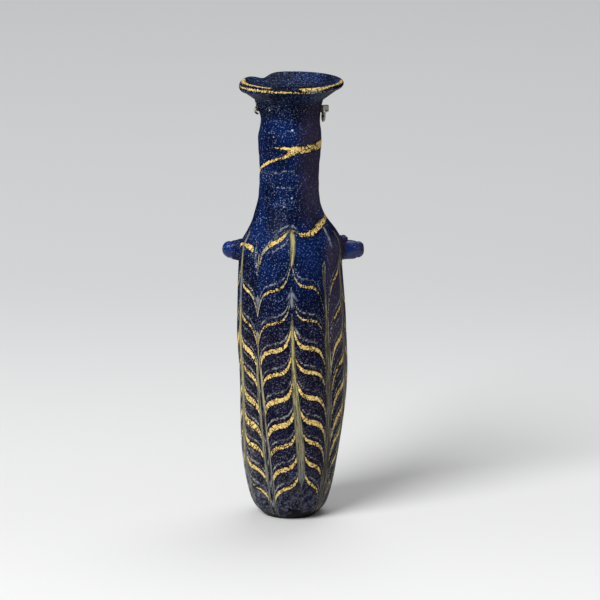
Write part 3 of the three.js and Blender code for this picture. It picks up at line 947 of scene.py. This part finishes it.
def new_material(name):
    """An empty material with its network, its shader and the shader's output."""
    material = bpy.data.materials.new(name)
    material.use_nodes = True
    material.node_tree.nodes.clear()
    net = Network(material.node_tree)
    shader = net.add("ShaderNodeBsdfPrincipled")
    output = net.add("ShaderNodeOutputMaterial")
    net.tree.links.new(shader.outputs["BSDF"], output.inputs["Surface"])
    return material, net, shader


def object_place(net):
    """Place on the object in metres, as a vector and then as x, y and z."""
    place = net.add("ShaderNodeTexCoord").outputs["Object"]
    split = net.add("ShaderNodeSeparateXYZ")
    net.put(split.inputs[0], place)
    return (place, *split.outputs)


def add_bump(net, shader, relief_height, strength, distance):
    """Tilts the shading by the slope of a height, at a strength and a full depth in metres."""
    bump = net.add("ShaderNodeBump")
    bump.inputs["Strength"].default_value = strength
    bump.inputs["Distance"].default_value = distance
    net.put(bump.inputs["Height"], relief_height)
    net.put(shader.inputs["Normal"], bump.outputs["Normal"])


# %% [markdown]
# ### Specks and dirt, used by the glass and by the wire
#
# Old glass is full of pinholes, and pale soil has settled in many of them. A Voronoi texture gives
# one centre a cell, and we keep only some of the cells. Both finishes use it, so it is a group.

# %% Group for specks
LEAST_SIZE = 0.45


def speck_group():
    """A group with the mask of the specks: in a cell that is kept, 1 at its centre, falling to 0
    at the size, which differs from cell to cell."""
    group = bpy.data.node_groups.new("soil_specks", "ShaderNodeTree")
    group.interface.new_socket("Vector", in_out="INPUT", socket_type="NodeSocketVector")
    for name, value in (("Cells per metre", 700.0), ("Share kept", 0.4), ("Size", 0.2)):
        socket = group.interface.new_socket(name, in_out="INPUT", socket_type="NodeSocketFloat")
        socket.default_value = value
    group.interface.new_socket("Mask", in_out="OUTPUT", socket_type="NodeSocketFloat")
    net = Network(group)
    source = net.add("NodeGroupInput")
    target = net.add("NodeGroupOutput")
    cells = net.add("ShaderNodeTexVoronoi")
    net.put(cells.inputs["Vector"], source.outputs["Vector"])
    net.put(cells.inputs["Scale"], source.outputs["Cells per metre"])
    parts = net.add("ShaderNodeSeparateColor")
    net.put(parts.inputs["Color"], cells.outputs["Color"])
    kept = net.maths("LESS_THAN", parts.outputs["Red"], source.outputs["Share kept"])
    size = net.times(source.outputs["Size"], net.ramp(parts.outputs["Green"], 0, 1, LEAST_SIZE, 1))
    near = net.maths("SUBTRACT", 1.0, net.ramp(cells.outputs["Distance"], 0.0, size), clamp=True)
    net.put(target.inputs["Mask"], net.times(near, kept))
    return group


def specks(net, group, vector, cells, kept, size):
    """The mask of the group at a vector, with its three numbers."""
    node = net.add("ShaderNodeGroup", node_tree=group)
    net.put(node.inputs["Vector"], vector)
    net.put(node.inputs["Cells per metre"], cells)
    net.put(node.inputs["Share kept"], kept)
    net.put(node.inputs["Size"], size)
    return node.outputs["Mask"]


speck_nodes = speck_group()
print("group:", speck_nodes.name, len(speck_nodes.nodes), "nodes")

# %% [markdown]
# ### Glass with its threads
#
# The fields are distances beyond the edge of a thread. A little noise is added to a field and the
# sum is compared with zero, so the edge of the colour becomes as nibbled as the real one.

# %% Colours of the glass
COBALT_DEEP = linear(2, 9, 39)
COBALT_BRIGHT = linear(5, 26, 74)
COBALT_BROWN = linear(11, 10, 30)
PATINA_AND_SHEEN = linear(55, 46, 66)
FILM_AND_REFLECTION = linear(102, 104, 114)
PALE_FILM_AND_REFLECTION = linear(138, 142, 146)
PALE = linear(152, 154, 150)
DUST_BLUE = linear(94, 115, 160)
DUST_GREY = linear(112, 110, 124)
SPECK = linear(214, 220, 226)
LUG_BLUE = linear(3, 36, 98)
YELLOW = linear(204, 170, 94)
YELLOW_LIGHT = linear(238, 210, 134)
OLIVE_LEG = linear(160, 156, 128)
CRACK = linear(20, 15, 24)
HALO_AND_SHADE = linear(4, 5, 16)
STRIPE_OLIVE = linear(188, 180, 120)
STRIPE_GREY = linear(142, 138, 106)
STRIPE_LOW = linear(112, 118, 112)
STRIPE_BROWN = linear(140, 134, 122)
STRIPE_TIP = linear(138, 148, 166)
STREAK_DARK = linear(34, 28, 34)
SOIL_AND_SHADE = linear(20, 15, 13)

# %% [markdown]
# Most of the fades below are zones: a ramp over the height, over x or over a noise. Each is a
# short list of numbers: where it starts, where it ends, and, if not 0 and 1, its two values.
# Heights and x are in metres.

# %% Ground of the glass
CLOUD = (90.0, 4.0)
GRIME = (260.0, 5.0, 0.65)
FINE = (1300.0, 3.0)
BRIGHT_CLOUD = (0.36, 0.62)
SHADE_BELOW_SHOULDER = (0.084, 0.07, 0.0, 0.7)
SHADE_PATCHES = (0.38, 0.56, 0.3, 1.0)
BROWN_HEIGHT = (0.078, 0.058, 0.0, 0.9)
BROWN_GRIME = (0.3, 0.48, 0.4, 1.0)

glass_material, net, shader = new_material("combed_cobalt_glass")
place, sideways, _, height = object_place(net)
cloud = net.noise(place, *CLOUD)
grime = net.noise(place, *GRIME)
fine = net.noise(place, *FINE)
base = net.mix(net.ramp(cloud, *BRIGHT_CLOUD), COBALT_DEEP, COBALT_BRIGHT)
# Painted shade: below the shoulder the body is mixed towards deep cobalt, in patches set by a noise.
base = net.mix(net.zone(height, SHADE_BELOW_SHOULDER, grime, SHADE_PATCHES), base, COBALT_DEEP)
base = net.mix(net.zone(height, BROWN_HEIGHT, grime, BROWN_GRIME), base, COBALT_BROWN)

# %% Sides, lugs and rim
PATINA_SHEEN_X = (0.001, 0.0075)
PATINA_SHEEN_BOTTOM = (0.088, 0.1)
PATINA_SHEEN_TOP = (0.1295, 0.127)
PATINA_SHEEN_CLOUD = (0.3, 0.55, 0.65, 0.95)
EDGE_X = (0.0095, 0.0125)
EDGE_BOTTOM = (0.04, 0.06)
EDGE_TOP = (0.09, 0.084)
LEFT_X = (-0.0085, -0.012)
LEFT_TOP = (0.084, 0.078)
LEFT_CLOUD = (0.3, 0.5, 0.5, 0.9)
LUG_X = (0.0162, 0.018)
LUG_GRIME = (0.36, 0.56)
SHADE_BOTTOM = (0.121, 0.127, 0.0, 0.55)
SHADE_TOP = (0.1318, 0.131)
DISH_BOTTOM = (0.1295, 0.131, 0.0, 0.9)
DISH_FINE = (0.47, 0.56)

# Partly patina and partly painted sheen: the right side of the neck and of the body is mixed towards a
# purple-grey that stands in for grey surroundings mirrored at a grazing angle.
right_neck_sheen = net.zone(sideways, PATINA_SHEEN_X, height, PATINA_SHEEN_BOTTOM, height, PATINA_SHEEN_TOP)
right_edge_sheen = net.zone(sideways, EDGE_X, height, EDGE_BOTTOM, height, EDGE_TOP)
right_sheen_side = net.larger(right_neck_sheen, right_edge_sheen)
base = net.mix(net.times(right_sheen_side, net.ramp(cloud, *PATINA_SHEEN_CLOUD)), base, PATINA_AND_SHEEN)
left_side = net.zone(sideways, LEFT_X, height, LEFT_TOP, cloud, LEFT_CLOUD)
base = net.mix(left_side, base, COBALT_BROWN)
lug_share = net.ramp(net.maths("ABSOLUTE", sideways), *LUG_X)
base = net.mix(net.times(lug_share, net.ramp(grime, *LUG_GRIME)), base, LUG_BLUE)
# Painted shade: the neck just under the overhanging rim is mixed towards the dark halo colour.
base = net.mix(net.zone(height, SHADE_BOTTOM, height, SHADE_TOP), base, HALO_AND_SHADE)
base = net.mix(net.zone(height, DISH_BOTTOM, fine, DISH_FINE), base, HALO_AND_SHADE)

# %% Whitish film at the foot, partly a painted reflection of the floor
LOW_HEIGHT = (0.021, 0.003, 0.0, 0.85)
LOW_X = (0.0, -0.012, 0.65, 1.0)
LEFT_FOOT_HEIGHT = (0.036, 0.008)
LEFT_FOOT_X = (-0.008, -0.0125)
FILM_REFLECTION_PATCHES = (760.0, 6.0, 0.8)
FILM_REFLECTION_FADE = (0.46, 0.6)

# Partly a weathering film and partly a painted reflection of the pale floor: the low body is mixed
# towards whitish grey in patches, paler at the lower left.
left_foot = net.zone(height, LEFT_FOOT_HEIGHT, sideways, LEFT_FOOT_X)
film_reflection_share = net.larger(net.zone(height, LOW_HEIGHT, sideways, LOW_X), left_foot)
film_and_reflection = net.times(net.ramp(net.noise(place, *FILM_REFLECTION_PATCHES), *FILM_REFLECTION_FADE), film_reflection_share)
base = net.mix(film_and_reflection, base, net.mix(left_foot, FILM_AND_REFLECTION, PALE_FILM_AND_REFLECTION))
print("glass nodes so far:", len(net.tree.nodes))

# %% [markdown]
# Pinholes filled with pale soil lie mostly on the neck and the shoulder. A fine dust fills the
# roughness between them, and a cluster of pale specks marks the front where neck and body meet.

# %% Specks
SPECK_CORE = 0.15
CLUSTER_PLACE = (-13, 96.3)
CLUSTER_REACH = 0.0052
LARGE_SPECKS = [(4, 120.4, 0.46), (5.5, 99.8, 0.42), (-37, 126.3, 0.42), (-9, 97.2, 0.36),
                (-31, 118.2, 0.3)]
BIG_SPECKS = (480.0, 0.13, 0.15)
SMALL_SPECKS = (1700.0, 0.5, 0.36)
SMALL_SHARE = 0.75


def near_place(net, vector, centre, radius):
    """1 at a place on the wall and 0 farther from it than the radius."""
    apart = net.add("ShaderNodeVectorMath", operation="DISTANCE")
    net.put(apart.inputs[0], vector)
    apart.inputs[1].default_value = centre
    return net.ramp(apart.outputs["Value"], radius, radius * SPECK_CORE)


def on_wall(angle, level):
    """Place on the outer wall in metres at an angle in degrees and a height in millimetres."""
    return tuple(around(radius_at(level), float(level), float(angle)) * MM)


near_cluster = near_place(net, place, on_wall(*CLUSTER_PLACE), CLUSTER_REACH)
speck_big = specks(net, speck_nodes, place, *BIG_SPECKS)
for angle, level, radius in LARGE_SPECKS:
    speck_big = net.larger(speck_big, near_place(net, place, on_wall(angle, level), radius * MM))
speck_small = specks(net, speck_nodes, place, *SMALL_SPECKS)
speck_mask = net.larger(speck_big, net.times(speck_small, SMALL_SHARE))

# %% Dust between the specks
DUST = (2100.0, 2.0, 0.6)
CLUSTER_DUST = 0.085
DISH_DUST = (0.129, 0.1315, 0.0, 0.03)
DUST_START = (0.075, 0.045, 0.57, 0.5)
DUST_END = 0.7
DUST_SHARE = (0.07, 0.04, 0.8, 0.52)
DUST_CLOUD = (0.34, 0.6, 0.45, 1.0)
GREY_HEIGHT = (0.075, 0.05)
SPECK_HEIGHT = (0.06, 0.095, 0.4, 1.0)
SPECK_SIDE = (0.0, 1.0, 1.0, 0.8)
SPECK_X = (0.0015, 0.0055, 1.0, 0.55)
SPECK_CLOUD = (0.34, 0.6, 0.4, 1.0)

dust_noise = net.plus(net.noise(place, *DUST), net.times(near_cluster, CLUSTER_DUST))
dust_noise = net.plus(dust_noise, net.ramp(height, *DISH_DUST))
dust_start = net.ramp(height, *DUST_START)
dust = net.ramp(dust_noise, dust_start, DUST_END, 0.0, net.ramp(height, *DUST_SHARE))
dust = net.times(dust, net.ramp(cloud, *DUST_CLOUD))
base = net.mix(dust, base, net.mix(net.ramp(height, *GREY_HEIGHT), DUST_BLUE, DUST_GREY))
upper = net.zone(height, SPECK_HEIGHT, right_sheen_side, SPECK_SIDE, sideways, SPECK_X, cloud, SPECK_CLOUD)
base = net.mix(net.times(speck_mask, upper), base, SPECK)

# %% [markdown]
# A thread's field is shifted by noise before it is compared with zero. Close to a stroke the
# drawn-out legs of the upper threads turn pale, because the yellow is mixed with other glass there.

# %% Thin pale lines
NIBBLE = (1900.0, 3.0, 0.65)
PALE_EDGE = (1.5, 0.1)
PALE_PATCHES = (520.0, 3.0)
PALE_FADE = (0.42, 0.56, 0.25, 1.0)
PALE_PULLED = (0.02, 0.25, 0.65, 1.0)
NOISE_MEAN = 0.5


def below_edge(net, distance, wobble, amount, softness):
    """1 inside a field whose edge is shifted by noise, falling to 0 over the softness."""
    shift = net.times(net.minus(wobble, NOISE_MEAN), amount)
    return net.ramp(net.plus(distance, shift), softness, -softness)


nibble = net.noise(place, *NIBBLE)
pulled_field = net.field("pulled")
brown_field = net.field("brown")
pale_mask = below_edge(net, net.field("pale"), nibble, *PALE_EDGE)
pale_kept = net.zone(net.noise(place, *PALE_PATCHES), PALE_FADE, pulled_field, PALE_PULLED)
base = net.mix(net.times(pale_mask, pale_kept), base, PALE)

# %% Yellow threads with their dark rims, cracks and pits
THREAD_EDGE = (1.6, 0.06)
HALO_FADE = (0.6, 0.1, 0.0, 0.8)
CRACK_CELLS = 620.0
CRACK_FADE = (0.085, 0.04)
CRACK_GRIME = (0.47, 0.54)
CRACK_SHARE = 0.95
PITS = (1500.0, 3.0, 0.6)
PIT_FADE = (0.56, 0.62)
LIGHT_FINE = (0.4, 0.62)
LEG_PULLED = (0.07, 0.24)
LEG_HEIGHT = (0.06, 0.066)
BROWN_PULLED = (0.12, 0.28)

thread_distance = net.field("thread")
base = net.mix(net.ramp(thread_distance, *HALO_FADE), base, HALO_AND_SHADE)
cells = net.add("ShaderNodeTexVoronoi", feature="DISTANCE_TO_EDGE")
net.put(cells.inputs["Vector"], place)
cells.inputs["Scale"].default_value = CRACK_CELLS
crack = net.zone(cells.outputs["Distance"], CRACK_FADE, grime, CRACK_GRIME)
crack = net.larger(crack, net.ramp(net.noise(place, *PITS), *PIT_FADE))
thread_mask = below_edge(net, thread_distance, nibble, *THREAD_EDGE)
yellow = net.mix(net.ramp(fine, *LIGHT_FINE), YELLOW, YELLOW_LIGHT)
browned = net.times(brown_field, net.ramp(pulled_field, *BROWN_PULLED))
drawn_out = net.larger(net.zone(pulled_field, LEG_PULLED, height, LEG_HEIGHT), browned)
yellow = net.mix(drawn_out, yellow, OLIVE_LEG)
yellow = net.mix(net.times(crack, CRACK_SHARE), yellow, CRACK)
base = net.mix(thread_mask, base, yellow)
print("glass nodes so far:", len(net.tree.nodes))

# %% [markdown]
# The stripes lie over the ends of the threads. Their colour runs from olive at the shoulder to
# grey below, with fine dark streaks along the strokes, read from the combed coordinates.

# %% Stripes
STREAKS = (1.9, 4.0, 0.75)
THIN_STREAKS = (3.4, 2.0, 0.6)
STRIPE_GREY_HEIGHT = (0.05, 0.03)
STRIPE_LOW_HEIGHT = (0.026, 0.014)
TIP_BOTTOM = (0.066, 0.0685)
TIP_TOP = (0.0765, 0.0745)
TIP_BROWN = (0.5, 0.3)
DARK_START = (0.0, 0.8, 0.53, 0.44)
DARK_FADE = (-0.01, 0.05, 0.0, 0.85)
THIN_FADE = (0.54, 0.6, 0.0, 0.85)
RIM_FADE = (-0.4, -0.05, 0.0, 0.75)
RIM_BROWN = (0.3, 0.0)
STRIPE_EDGE = (1.0, 0.08)
STRIPE_SHARE = 0.95

flow = net.field("combed", "Vector")
streak = net.noise(flow, *STREAKS)
thin_streak = net.noise(flow, *THIN_STREAKS)
stripe_distance = net.field("stripe")
stripe_tone = net.mix(net.ramp(height, *STRIPE_GREY_HEIGHT), STRIPE_OLIVE, STRIPE_GREY)
stripe_tone = net.mix(net.ramp(height, *STRIPE_LOW_HEIGHT), stripe_tone, STRIPE_LOW)
stripe_tone = net.mix(brown_field, stripe_tone, STRIPE_BROWN)
tip = net.zone(height, TIP_BOTTOM, height, TIP_TOP, brown_field, TIP_BROWN)
stripe_tone = net.mix(tip, stripe_tone, STRIPE_TIP)
past_start = net.minus(streak, net.ramp(brown_field, *DARK_START))
streak_dark = net.larger(net.ramp(past_start, *DARK_FADE), net.ramp(thin_streak, *THIN_FADE))
stripe_tone = net.mix(streak_dark, stripe_tone, STREAK_DARK)
edge_dark = net.zone(stripe_distance, RIM_FADE, brown_field, RIM_BROWN)
stripe_tone = net.mix(edge_dark, stripe_tone, STREAK_DARK)
stripe_mask = below_edge(net, stripe_distance, streak, *STRIPE_EDGE)
base = net.mix(net.times(stripe_mask, STRIPE_SHARE), base, stripe_tone)

# %% Soil and painted shade at the foot
SOIL_SHADE_WAVE = 0.012
SOIL_SHADE_FADE = (0.0026, 0.0012, 0.0, 0.95)

# The very bottom is mixed towards brown-black: partly soil, partly painted shade of the underside where
# it meets the floor.
soil_shade_edge = net.minus(height, net.times(net.minus(grime, NOISE_MEAN), SOIL_SHADE_WAVE))
base = net.mix(net.ramp(soil_shade_edge, *SOIL_SHADE_FADE), base, SOIL_AND_SHADE)
net.put(shader.inputs["Base Color"], base)
print("glass nodes so far:", len(net.tree.nodes))

# %% Gloss and relief of the glass
GLASS_IOR = 1.5
GLASS_SPECULAR = 0.035
ROUGH_GRIME = (0.35, 0.7, 0.36, 0.52)
STRIPE_RELIEF = 0.8
TRAIL_ROUGHER = 0.14
LUG_SMOOTHER = 0.14
LUG_COAT = 0.45
LUG_COAT_ROUGHNESS = 0.27
FINE_RELIEF = 0.35
GRIME_RELIEF = 0.65
GLASS_BUMP = (0.55, 0.0004)

raised = net.times(stripe_mask, STRIPE_RELIEF)
trail = net.larger(thread_mask, raised)
rough = net.plus(net.ramp(grime, *ROUGH_GRIME), net.times(trail, TRAIL_ROUGHER))
rough = net.minus(rough, net.times(lug_share, LUG_SMOOTHER))
net.put(shader.inputs["Roughness"], rough)
shader.inputs["IOR"].default_value = GLASS_IOR
shader.inputs["Specular IOR Level"].default_value = GLASS_SPECULAR
net.put(shader.inputs["Coat Weight"], net.times(lug_share, LUG_COAT))
shader.inputs["Coat Roughness"].default_value = LUG_COAT_ROUGHNESS
relief_height = net.plus(net.times(fine, FINE_RELIEF), net.times(grime, GRIME_RELIEF))
relief_height = net.minus(relief_height, net.times(crack, thread_mask))
relief_height = net.plus(relief_height, net.times(streak, raised))
add_bump(net, shader, relief_height, *GLASS_BUMP)
glass.data.materials.append(glass_material)
print("glass nodes:", len(net.tree.nodes))

# %% [markdown]
# ### Dull metal of the wire
#
# The wire is an old silvery metal, tarnished dark in patches and paler where it was handled. Where it
# lies close to the neck, it is painted dark as shade.

# %% Build the wire material
WIRE_LIGHT = linear(226, 222, 210)
WIRE_DARK = linear(48, 42, 38)
TARNISH = (1100.0, 4.0, 0.6)
TARNISH_FADE = (0.42, 0.6)
WIRE_SPECKS = (1800.0, 0.35, 0.4)
WIRE_SPECK_SHARE = 0.6
NECK_SHADE = (0.0103, 0.0098, 0.0, 0.85)
WIRE_ROUGH = (0.3, 0.7, 0.32, 0.6)
WIRE_METALLIC = 0.55
WIRE_BUMP = (0.4, 0.0001)

wire_material, net, shader = new_material("dull_silver_wire")
place, sideways, _, _ = object_place(net)
tarnish = net.noise(place, *TARNISH)
dirt = net.times(specks(net, speck_nodes, place, *WIRE_SPECKS), WIRE_SPECK_SHARE)
base = net.mix(net.ramp(tarnish, *TARNISH_FADE), WIRE_LIGHT, WIRE_DARK)
base = net.mix(dirt, base, WIRE_DARK)
# Painted shade: the wire is mixed to its dark colour where it lies close to the neck.
base = net.mix(net.ramp(net.maths("ABSOLUTE", sideways), *NECK_SHADE), base, WIRE_DARK)
net.put(shader.inputs["Base Color"], base)
net.put(shader.inputs["Roughness"], net.ramp(tarnish, *WIRE_ROUGH))
shader.inputs["Metallic"].default_value = WIRE_METALLIC
add_bump(net, shader, tarnish, *WIRE_BUMP)
wire.data.materials.append(wire_material)
print("wire nodes:", len(net.tree.nodes))

# %% Attach both pieces to the frame
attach(glass, "root")
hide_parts("flask")
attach(wire, "root")
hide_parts("neck_wire")

# %% [markdown]
# ## Floor, light and camera
#
# The flask stands on a pale sheet whose colour is painted darker towards the back, a painted falloff of
# the light.
# A large soft light comes from the upper left and front, and its shadow runs right and away.

# %% Floor
FLOOR_REACH = 6.0
PAPER_FRONT = linear(233, 233, 233)
PAPER_MIDDLE_FALLOFF = linear(224, 224, 224)
PAPER_BACK_FALLOFF = linear(204, 205, 205)
PAPER_REFLECTED = linear(40, 40, 44)
MIDDLE_DEPTH = (-0.12, 0.02)
BACK_DEPTH = (0.0, 0.34)
REFLECTED_REACH = (0.12, 0.3)
PAPER_ROUGHNESS = 0.75
PAPER_SPECULAR = 0.1

floor_mesh = bpy.data.meshes.new("pale_floor")
corners = [(-FLOOR_REACH, -FLOOR_REACH, 0), (FLOOR_REACH, -FLOOR_REACH, 0),
           (FLOOR_REACH, FLOOR_REACH, 0), (-FLOOR_REACH, FLOOR_REACH, 0)]
floor_mesh.from_pydata(corners, [], [(0, 1, 2, 3)])
floor = bpy.data.objects.new("pale_floor", floor_mesh)
bpy.context.scene.collection.objects.link(floor)
floor_material, net, shader = new_material("pale_floor_paper")
place, _, depth, _ = object_place(net)
# Painted falloff of the light: the sheet's colour darkens with depth.
paper_and_falloff = net.mix(net.ramp(depth, *MIDDLE_DEPTH), PAPER_FRONT, PAPER_MIDDLE_FALLOFF)
paper_and_falloff = net.mix(net.ramp(depth, *BACK_DEPTH), paper_and_falloff, PAPER_BACK_FALLOFF)
print("floor nodes so far:", len(net.tree.nodes))

# %% [markdown]
# The wall is glossy enough to mirror the whole pale floor, which would lay a grey veil over the
# dark glass. So the far floor turns dark for reflected rays alone, which Light Path tells apart.

# %% Floor in reflections
reach = net.add("ShaderNodeVectorMath", operation="LENGTH")
net.put(reach.inputs[0], place)
floor_mirrored = net.add("ShaderNodeLightPath").outputs["Is Glossy Ray"]
unlit = net.times(floor_mirrored, net.ramp(reach.outputs["Value"], *REFLECTED_REACH))
net.put(shader.inputs["Base Color"], net.mix(unlit, paper_and_falloff, PAPER_REFLECTED))
shader.inputs["Roughness"].default_value = PAPER_ROUGHNESS
shader.inputs["Specular IOR Level"].default_value = PAPER_SPECULAR
floor_mesh.materials.append(floor_material)

# %% Lights
from mathutils import Vector

KEY_PLACE = (-1.25, -1.45, 1.72)
KEY_AIM = (0.0, 0.0, 0.06)
KEY_SIZE = 1.45
KEY_WATTS = 70.0
TOP_PLACE = (0.3, 1.0, 2.0)
TOP_AIM = (0.0, 0.5, 0.0)
TOP_SIZE = 1.6
TOP_WATTS = 16.5


def soft_light(name, place, aim, size, watts):
    """A round area light at a place that faces another place."""
    lamp = bpy.data.lights.new(name, "AREA")
    lamp.shape = "DISK"
    lamp.size = size
    lamp.energy = watts
    made = bpy.data.objects.new(name, lamp)
    made.location = place
    made.rotation_euler = (Vector(aim) - Vector(place)).to_track_quat("-Z", "Y").to_euler()
    bpy.context.scene.collection.objects.link(made)


soft_light("key_upper_left", KEY_PLACE, KEY_AIM, KEY_SIZE, KEY_WATTS)
soft_light("top_softbox", TOP_PLACE, TOP_AIM, TOP_SIZE, TOP_WATTS)

# %% World and view transform
WORLD_COLOUR = (0.96, 0.97, 1.0, 1.0)
WORLD_STRENGTH = 0.25
WORLD_REFLECTED = 0.06

world = bpy.data.worlds.new("studio")
world.use_nodes = True
background = world.node_tree.nodes["Background"]
background.inputs["Color"].default_value = WORLD_COLOUR
world_net = Network(world.node_tree)
world_mirrored = world_net.add("ShaderNodeLightPath").outputs["Is Glossy Ray"]
strength = world_net.ramp(world_mirrored, 0.0, 1.0, WORLD_STRENGTH, WORLD_REFLECTED)
world_net.put(background.inputs["Strength"], strength)
bpy.context.scene.world = world
bpy.context.scene.view_settings.view_transform = "Standard"

# %% Camera
CAMERA_AIM = Vector((3.11, 0, 66.5)) * MM
CAMERA_DISTANCE = 1.2
CAMERA_TILT = np.radians(13.5)
SENSOR_WIDTH = 36
FOCAL_LENGTH = 238.2

lens = bpy.data.cameras.new("photo_camera")
lens.sensor_width = SENSOR_WIDTH
lens.lens = FOCAL_LENGTH
camera = bpy.data.objects.new("photo_camera", lens)
back_and_up = Vector((0, -np.cos(CAMERA_TILT), np.sin(CAMERA_TILT)))
camera.location = CAMERA_AIM + CAMERA_DISTANCE * back_and_up
camera.rotation_euler = (np.pi / 2 - CAMERA_TILT, 0, 0)
bpy.context.scene.collection.objects.link(camera)
bpy.context.scene.camera = camera
